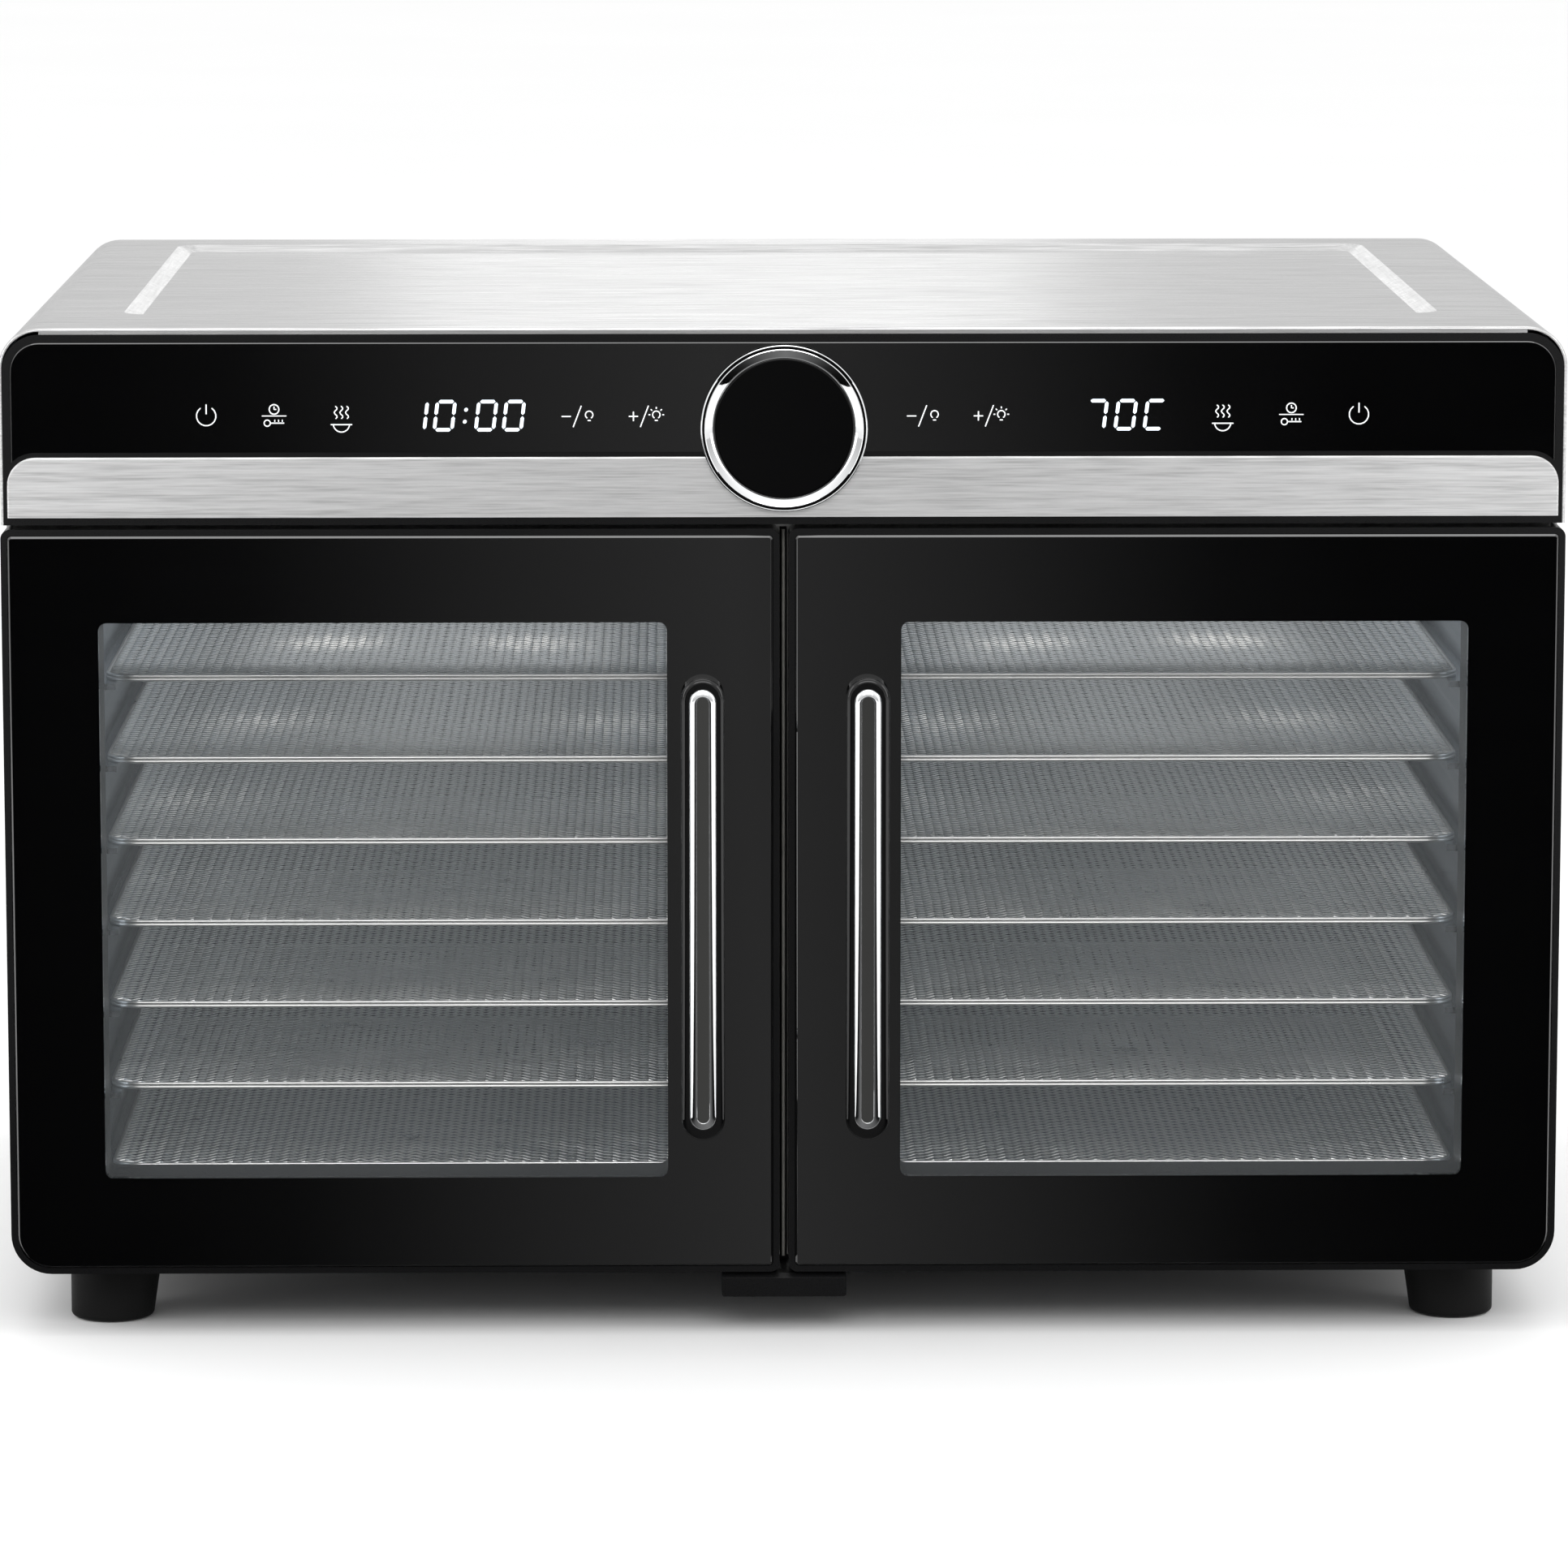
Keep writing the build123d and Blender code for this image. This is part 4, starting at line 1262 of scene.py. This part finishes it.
    def warm(self, x: float) -> list[Piece]:
        """Make the keep-warm sign: three rising waves over a dish.

        Args:
            x: middle of the sign.

        Returns:
            The strokes.
        """
        parts = [self.line([(x - 3.4 * MM, self.row - 2.8 * MM), (x + 3.4 * MM, self.row - 2.8 * MM)])]
        parts.append(self.arc(x, self.row - 2.6 * MM, 2.6 * MM, 180, 360, 12))
        for step in (-1, 0, 1):
            wave = []
            for i in range(9):
                height = self.row - 0.9 * MM + i * 0.5 * MM
                wave.append((x + step * 1.8 * MM + 0.5 * MM * math.sin(i * 1.2), height))
            parts.append(self.line(wave))
        return parts

    def lamp_key(self, x: float, plus: bool) -> list[Piece]:
        """Make a minus or plus sign, a slash and a lamp sign.

        Args:
            x: middle of the sign.
            plus: whether the sign is a plus.

        Returns:
            The strokes.
        """
        row = self.row - 0.3 * MM
        left = x - 3.4 * MM
        parts = [self.line([(left - 1.5 * MM, row), (left + 1.5 * MM, row)])]
        if plus:
            parts.append(self.line([(left, row - 1.5 * MM), (left, row + 1.5 * MM)]))
        parts.append(self.line([(x - 1.2 * MM, row - 3.4 * MM), (x + 1.4 * MM, row + 3.4 * MM)]))
        bulb = x + 3.9 * MM
        parts.append(self.arc(bulb, row + 0.5 * MM, 1.2 * MM, -60, 240, 14))
        parts.append(self.line([(bulb - 0.5 * MM, row - 1.3 * MM), (bulb + 0.5 * MM, row - 1.3 * MM)]))
        if plus:
            for step in range(5):
                angle = math.radians(step * 45)
                way = (math.cos(angle), math.sin(angle))
                start, stop = 1.9 * MM, 2.5 * MM
                parts.append(self.line([
                    (bulb + way[0] * start, row + 0.5 * MM + way[1] * start),
                    (bulb + way[0] * stop, row + 0.5 * MM + way[1] * stop),
                ]))
        return parts

    def segment(self, x: float, z: float, along_x: bool, length: float) -> Piece:
        """Make one bar of a digit, with pointed ends.

        Args:
            x: its middle across the panel.
            z: height of its middle.
            along_x: whether it lies flat rather than upright.
            length: its length.

        Returns:
            The bar.
        """
        half = length / 2
        thick = self.bar / 2
        size = (half, thick) if along_x else (thick, half)
        bar = Bench.box(
            "bar",
            (x - size[0], self.face - self.bar_front, z - size[1]),
            (x + size[0], self.face + self.bar_back, z + size[1]),
        )
        Bench.bevel(bar, deep, thick * self.bar_point, 1)
        return bar

    def digit(self, mark: str, x: float) -> list[Piece]:
        """Make one digit of bars.

        Args:
            mark: the digit, or C for Celsius.
            x: its middle across the panel.

        Returns:
            The bars.
        """
        wide, high = self.digit_wide, self.digit_high
        half_x, half_z = wide / 2, high / 2
        across = wide - self.bar * 0.7
        down = half_z - self.bar * 0.5
        spots = {
            "a": (0, half_z, True), "d": (0, -half_z, True),
            "f": (-half_x, half_z / 2, False), "b": (half_x, half_z / 2, False),
            "e": (-half_x, -half_z / 2, False), "c": (half_x, -half_z / 2, False),
        }
        bars = []
        for name in self.SEGMENTS[mark]:
            dx, dz, flat = spots[name]
            bars.append(self.segment(x + dx, self.row + dz, flat, across if flat else down))
        return bars

    def lean(self, obj: Piece) -> None:
        """Lean the digits to the right, about the panel's row."""
        for vertex in obj.data.vertices:
            vertex.co.x += (vertex.co.z - self.row) * self.slant

    def readout(self, name: str, text: str, x: float, pitch: float) -> None:
        """Make a row of digits, in which a colon takes half a pitch.

        Args:
            name: the piece's name.
            text: what it shows.
            x: the row's middle across the panel.
            pitch: distance from digit to digit.
        """
        widths = [0.5 if mark == ":" else 1.0 for mark in text]
        total = sum(widths) * pitch
        left = x - total / 2
        bars: list[Piece] = []
        for mark, width in zip(text, widths):
            centre = left + width * pitch / 2
            left += width * pitch
            if mark == ":":
                for step in (-1, 1):
                    spot = (centre, self.face - self.dot_lift, self.row + step * self.dot_rise)
                    bars.append(Bench.disc("dot", spot, *self.dot, Axis.Y, 16))
            else:
                bars += self.digit(mark, centre)
        piece = Bench.join(name, bars)
        self.lean(piece)
        Bench.smooth(piece)
        fit(piece, "root", DIGITS)

    def build(self) -> None:
        """Make every sign and both number displays."""
        self.readout("time_readout", "10:00", *self.time_place)
        self.readout("heat_readout", "70C", *self.heat_place)
        left, right = 0, 1
        rows = {
            "left_signs": (
                self.power(self.power_x[left]) + self.clock(self.clock_x[left])
                + self.warm(self.warm_x[left]) + self.lamp_key(self.minus_x[left], False)
                + self.lamp_key(self.plus_x[left], True)
            ),
            "right_signs": (
                self.lamp_key(self.minus_x[right], False) + self.lamp_key(self.plus_x[right], True)
                + self.warm(self.warm_x[right]) + self.clock(self.clock_x[right])
                + self.power(self.power_x[right])
            ),
        }
        for name, strokes in rows.items():
            piece = Bench.join(name, strokes)
            Bench.smooth(piece, 60.0)
            fit(piece, "root", SIGN)


# ------------------------------------------------------------------ body
@dataclass
class Body:
    """Shells, fascia, chambers and what they hold."""

    plain: dict[str, Finish] = field(default_factory=lambda: {
        "outer_cover": COVER_STEEL, "base_pan": COAT, "rear_panel": COAT, "face_frame": FRAME_STEEL,
        "fascia": BLACK_PLASTIC, "control_glass": FACE_GLASS, "trim_strip": STRIP_STEEL,
        "control_board": GREEN_BOARD, "power_board": GREEN_BOARD, "power_inlet": BLACK_PLASTIC,
        "feet": RUBBER, "door_rest": BLACK_PLASTIC, "hinge_brackets": FRAME_STEEL,
        "door_magnets": MAGNET, "chamber_lamps": COAT,
    })
    per_side: dict[str, Finish] = field(default_factory=lambda: {
        # the fan guard's dark steel is painted shade
        "chamber": CHAMBER_STEEL, "guides": CHAMBER_STEEL, "fan_guard": SHADED_GUARD_STEEL,
        "heater": SHEATH, "motor": MOTOR_COAT, "fan_wheel": FAN_METAL, "fan_shaft": ZINC,
    })
    screw_radius: float = 3.2 * MM
    screw_seat: float = 1.6 * MM
    screw_dome: float = 0.9 * MM
    slot_half: tuple[float, float] = (1.9 * MM, 0.35 * MM)
    lamp_x: float = 118 * MM
    lens_radius: float = 15 * MM
    lens_gap: float = 0.4 * MM
    lens_rise: float = 1.2 * MM
    lens_depth: float = 3.2 * MM
    gasket_end: float = 2 * MM
    bead_share: float = 0.45
    bead_rise: float = 0.6 * MM
    gasket_half: float = 1.1 * MM
    gasket_depth: float = 8 * MM

    def screw_heads(self) -> None:
        """Make the rear screws with domed heads and cross slots."""
        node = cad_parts["cover_screws"]
        low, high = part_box("cover_screws")
        spots = self.clusters(node, high.y)
        seat = high.y - self.screw_seat
        x, z = spots[0]
        middle = (x, (seat + high.y) / 2, z)
        head = Bench.disc("rear_screws", middle, self.screw_radius, high.y - seat, Axis.Y, 32)
        Bench.bevel(head, at_depth(high.y), self.screw_dome, 4)
        for wide, tall in (self.slot_half, self.slot_half[::-1]):
            cutter = Bench.box(
                "slot", (x - wide, high.y - self.screw_dome, z - tall),
                (x + wide, high.y + 1 * MM, z + tall),
            )
            Bench.carve(head, cutter)
        heads = [head]
        for other_x, other_z in spots[1:]:
            heads.append(Bench.copy(head, "screw", (other_x - x, 0, other_z - z)))
        piece = Bench.join("rear_screws", heads)
        Bench.smooth(piece, 35.0)
        fit(piece, "root", ZINC, ["cover_screws"])

    def clusters(self, node: Piece, depth: float) -> list[tuple[float, float]]:
        """Find the round faces of a node that lie at one depth.

        Args:
            node: the frame node.
            depth: their depth.

        Returns:
            The middle of each, as pairs of across and height.
        """
        groups: list[list[Vector]] = []
        for vertex in node.data.vertices:
            if abs(vertex.co.y - depth) > TOUCH:
                continue
            for group in groups:
                if (group[0] - vertex.co).length < 3 * self.screw_radius:
                    group.append(vertex.co.copy())
                    break
            else:
                groups.append([vertex.co.copy()])
        spots = []
        for group in groups:
            xs = [spot.x for spot in group]
            zs = [spot.z for spot in group]
            spots.append(((min(xs) + max(xs)) / 2, (min(zs) + max(zs)) / 2))
        return spots

    def lamp_lenses(self) -> None:
        """Make a frosted lens over each chamber lamp."""
        low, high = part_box("chamber_lamps")
        radius = self.lens_radius - self.lens_gap
        for side, sign in SIDES.items():
            spot = (sign * self.lamp_x, (low.y + high.y) / 2, low.z + self.lens_rise)
            lens = Bench.disc(f"{side}_lamp_lens", spot, radius, self.lens_depth, Axis.Z, 48)
            Bench.bevel(lens, lambda a, b: max(a.z, b.z) < low.z, self.lens_rise, 3)
            Bench.smooth(lens, 40.0)
            fit(lens, "root", LENS)

    def centre_gasket(self) -> None:
        """Make the gasket and its pale bead, which show between the closed doors."""
        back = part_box("face_frame")[0].y
        low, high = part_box("left_door_frame")
        front = back - self.gasket_depth
        bottom, top = low.z + self.gasket_end, high.z - self.gasket_end
        half = self.gasket_half
        gasket = Bench.box("centre_gasket", (-half, front, bottom), (half, back, top))
        Bench.bevel(gasket, lambda a, b: at_depth(front)(a, b) and upright(a, b), half * 0.5, 3)
        Bench.smooth(gasket)
        fit(gasket, "root", RUBBER)
        bead_half = half * self.bead_share
        bead = Bench.box(
            "centre_bead", (-bead_half, front - self.bead_rise, bottom), (bead_half, front, top)
        )
        Bench.bevel(bead, lambda a, b: upright(a, b) and max(a.y, b.y) < front, bead_half * 0.9, 4)
        Bench.smooth(bead, 50.0)
        fit(bead, "root", BEAD)

    def build(self) -> None:
        """Dress the shells and make the screws, the gasket and the lamp lenses."""
        for node, finish in self.plain.items():
            dress_node(node, finish)
        for side in SIDES:
            for part, finish in self.per_side.items():
                dress_node(f"{side}_{part}", finish)
        self.screw_heads()
        self.centre_gasket()
        self.lamp_lenses()


# ------------------------------------------------------------------ studio
@dataclass(frozen=True)
class Softbox:
    """A soft light: where it hangs, its width and depth, its power in watts and its colour."""

    name: str
    spot: tuple[float, float, float]
    size: tuple[float, float]
    power: float
    colour: Colour = (1.0, 1.0, 1.0)

    def hang(self) -> Piece:
        """Hang the light, facing down.

        Returns:
            The light.
        """
        bpy.ops.object.light_add(type="AREA", location=self.spot)
        lamp = bpy.context.active_object
        lamp.name = self.name
        lamp.data.shape = "RECTANGLE"
        lamp.data.size, lamp.data.size_y = self.size
        lamp.data.color = self.colour
        lamp.data.energy = self.power
        return lamp


@dataclass
class Studio:
    """Pale floor, soft lights, reflection cards and the camera."""

    camera_distance: float = 2.355
    camera_x: float = -0.035
    camera_height: float = 0.542
    aim_height: float = 0.180
    lens: float = 170.3
    chamber_power: float = 0.05
    chamber_light: tuple[float, float] = (0.19, 0.2)
    chamber_back: float = 0.13
    chamber_gap: float = 4 * MM
    chamber_colour: Colour = (0.92, 0.96, 1.0)
    horizon: float = 0.6
    zenith: float = 1.15
    sky_rise: tuple[float, float] = (0.08, 0.6)
    floor_size: float = 60.0
    floor_drop: float = 0.4 * MM
    floor_tone: float = 0.93
    card_reach: float = 5.0
    card_slope: float = 0.125
    card_gap: float = 5 * MM
    card_fade: tuple[tuple[float, float], ...] = (
        (0.0, 0.18), (0.032, 0.105), (0.052, 0.048), (0.065, 0.02), (0.085, 0.007), (0.12, 0.001),
    )
    aim: tuple[float, float, float] = (0.0, 0.0, 0.15)
    softboxes: tuple[Softbox, ...] = (
        Softbox("overhead_box", (0.0, 0.2, 2.2), (2.0, 1.4), 9.0),
        Softbox("front_box", (0.0, -3.0, 2.0), (2.2, 1.2), 25.0),
        Softbox("back_box", (0.0, 3.0, 1.0), (0.5, 0.8), 1.0),
        Softbox("left_box", (-1.9, -1.0, 0.9), (0.7, 1.5), 9.0),
        Softbox("right_box", (1.9, -1.0, 0.9), (0.7, 1.5), 9.0),
    )

    def matt(self, name: str, colour: Colour) -> bpy.types.Material:
        """Make a matt stage material with a trace of unevenness.

        Args:
            name: the material's name.
            colour: its colour.

        Returns:
            The material.
        """
        graph = Graph(name)
        cloud = graph.noise((1, 1, 1), 2.0)
        graph.colour(graph.ramp(cloud, ((0.3, tint(colour, 0.99)), (0.7, colour))))
        graph.set(Roughness=0.9, Specular_IOR_Level=0.1)
        return graph.material

    def air(self) -> None:
        """Fill the studio with soft light, dimmer at the horizon than overhead."""
        world = bpy.data.worlds.new("studio_air")
        world.use_nodes = True
        nodes, links = world.node_tree.nodes, world.node_tree.links
        split = nodes.new("ShaderNodeSeparateXYZ")
        links.new(nodes.new("ShaderNodeTexCoord").outputs["Generated"], split.inputs[0])
        rise = nodes.new("ShaderNodeMapRange")
        rise.inputs["From Min"].default_value = self.sky_rise[0]
        rise.inputs["From Max"].default_value = self.sky_rise[1]
        rise.inputs["To Min"].default_value = self.horizon
        rise.inputs["To Max"].default_value = self.zenith
        links.new(split.outputs[2], rise.inputs[0])
        links.new(rise.outputs[0], nodes["Background"].inputs["Strength"])
        nodes["Background"].inputs["Color"].default_value = (1, 1, 1, 1)
        bpy.context.scene.world = world

    def floor(self) -> None:
        """Lay the pale floor."""
        bpy.ops.mesh.primitive_plane_add(
            size=self.floor_size, location=(0, 0, -self.floor_drop)
        )
        floor = Bench.settle("studio_floor")
        floor.data.materials.append(self.matt("pale_floor", grey(self.floor_tone)))

    def card_light(self) -> bpy.types.Material:
        """Make the card's own light, which fades from its middle line to its sides.

        Returns:
            The material.
        """
        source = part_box("fascia")[0].y + self.camera_distance
        graph = Graph("card_fade")
        across, along, _ = graph.split(graph.coordinates)
        away = graph.math("ABSOLUTE", across)
        slope = graph.math("DIVIDE", away, graph.math("SUBTRACT", source, along))
        fade = graph.ramp(slope, [(place, grey(tone)) for place, tone in self.card_fade])
        graph.links.new(fade, graph.shader.inputs["Emission Color"])
        graph.set(Emission_Strength=1.0, Specular_IOR_Level=0.0, Roughness=1.0)
        graph.shader.inputs["Base Color"].default_value = (0, 0, 0, 1)
        return graph.material

    def floor_card(self) -> None:
        """Lay a fan-shaped dark card, which only gloss sees, in front of the object."""
        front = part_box("fascia")[0].y
        source = front + self.camera_distance
        near = front - self.card_gap
        bpy.ops.mesh.primitive_plane_add(size=1.0, location=(0, near - self.card_reach / 2, MM))
        bpy.context.active_object.scale = (1.0, self.card_reach, 1.0)
        card = Bench.settle("floor_card")
        for vertex in card.data.vertices:
            side = math.copysign(self.card_slope, vertex.co.x)
            vertex.co.x = side * (source - vertex.co.y)
        card.data.materials.append(self.card_light())
        card.visible_camera = False
        card.visible_diffuse = False
        card.visible_shadow = False
        card.visible_transmission = False

    def light(self) -> None:
        """Hang the softboxes, and a broad soft lamp under each chamber's ceiling."""
        for box in self.softboxes:
            lamp = box.hang()
            way = Vector(self.aim) - Vector(box.spot)
            lamp.rotation_euler = way.to_track_quat("-Z", "Y").to_euler()
        for side in SIDES:
            low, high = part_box(f"{side}_chamber")
            spot = ((low.x + high.x) / 2, low.y + self.chamber_back, high.z - self.chamber_gap)
            Softbox(
                f"{side}_chamber_light", spot, self.chamber_light, self.chamber_power,
                self.chamber_colour,
            ).hang()

    def camera(self) -> None:
        """Set the camera in front of the object, a little above it."""
        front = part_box("fascia")[0].y
        spot = Vector((self.camera_x, front - self.camera_distance, self.camera_height))
        aim = Vector((0.0, front, self.aim_height))
        bpy.ops.object.camera_add(location=spot)
        camera = bpy.context.active_object
        camera.name = "front_camera"
        camera.rotation_euler = (aim - spot).to_track_quat("-Z", "Y").to_euler()
        camera.data.lens = self.lens
        camera.data.sensor_width = 36.0
        camera.data.clip_end = 100.0
        bpy.context.scene.camera = camera

    def build(self) -> None:
        """Set up the whole studio."""
        self.air()
        bpy.context.scene.view_settings.view_transform = "Standard"
        self.camera()
        self.floor()
        self.floor_card()
        self.light()


def main() -> None:
    """Build and dress every sub-assembly, then the studio."""
    Studio().build()
    Body().build()
    Badge().build()
    ControlPanel().build()
    for side in SIDES:
        Door(side).build()
        log.info("%s door done", side)
    TraySet().build()


if __name__ == "__main__":
    logging.basicConfig(level=logging.INFO, format="%(name)s: %(message)s")
    main()
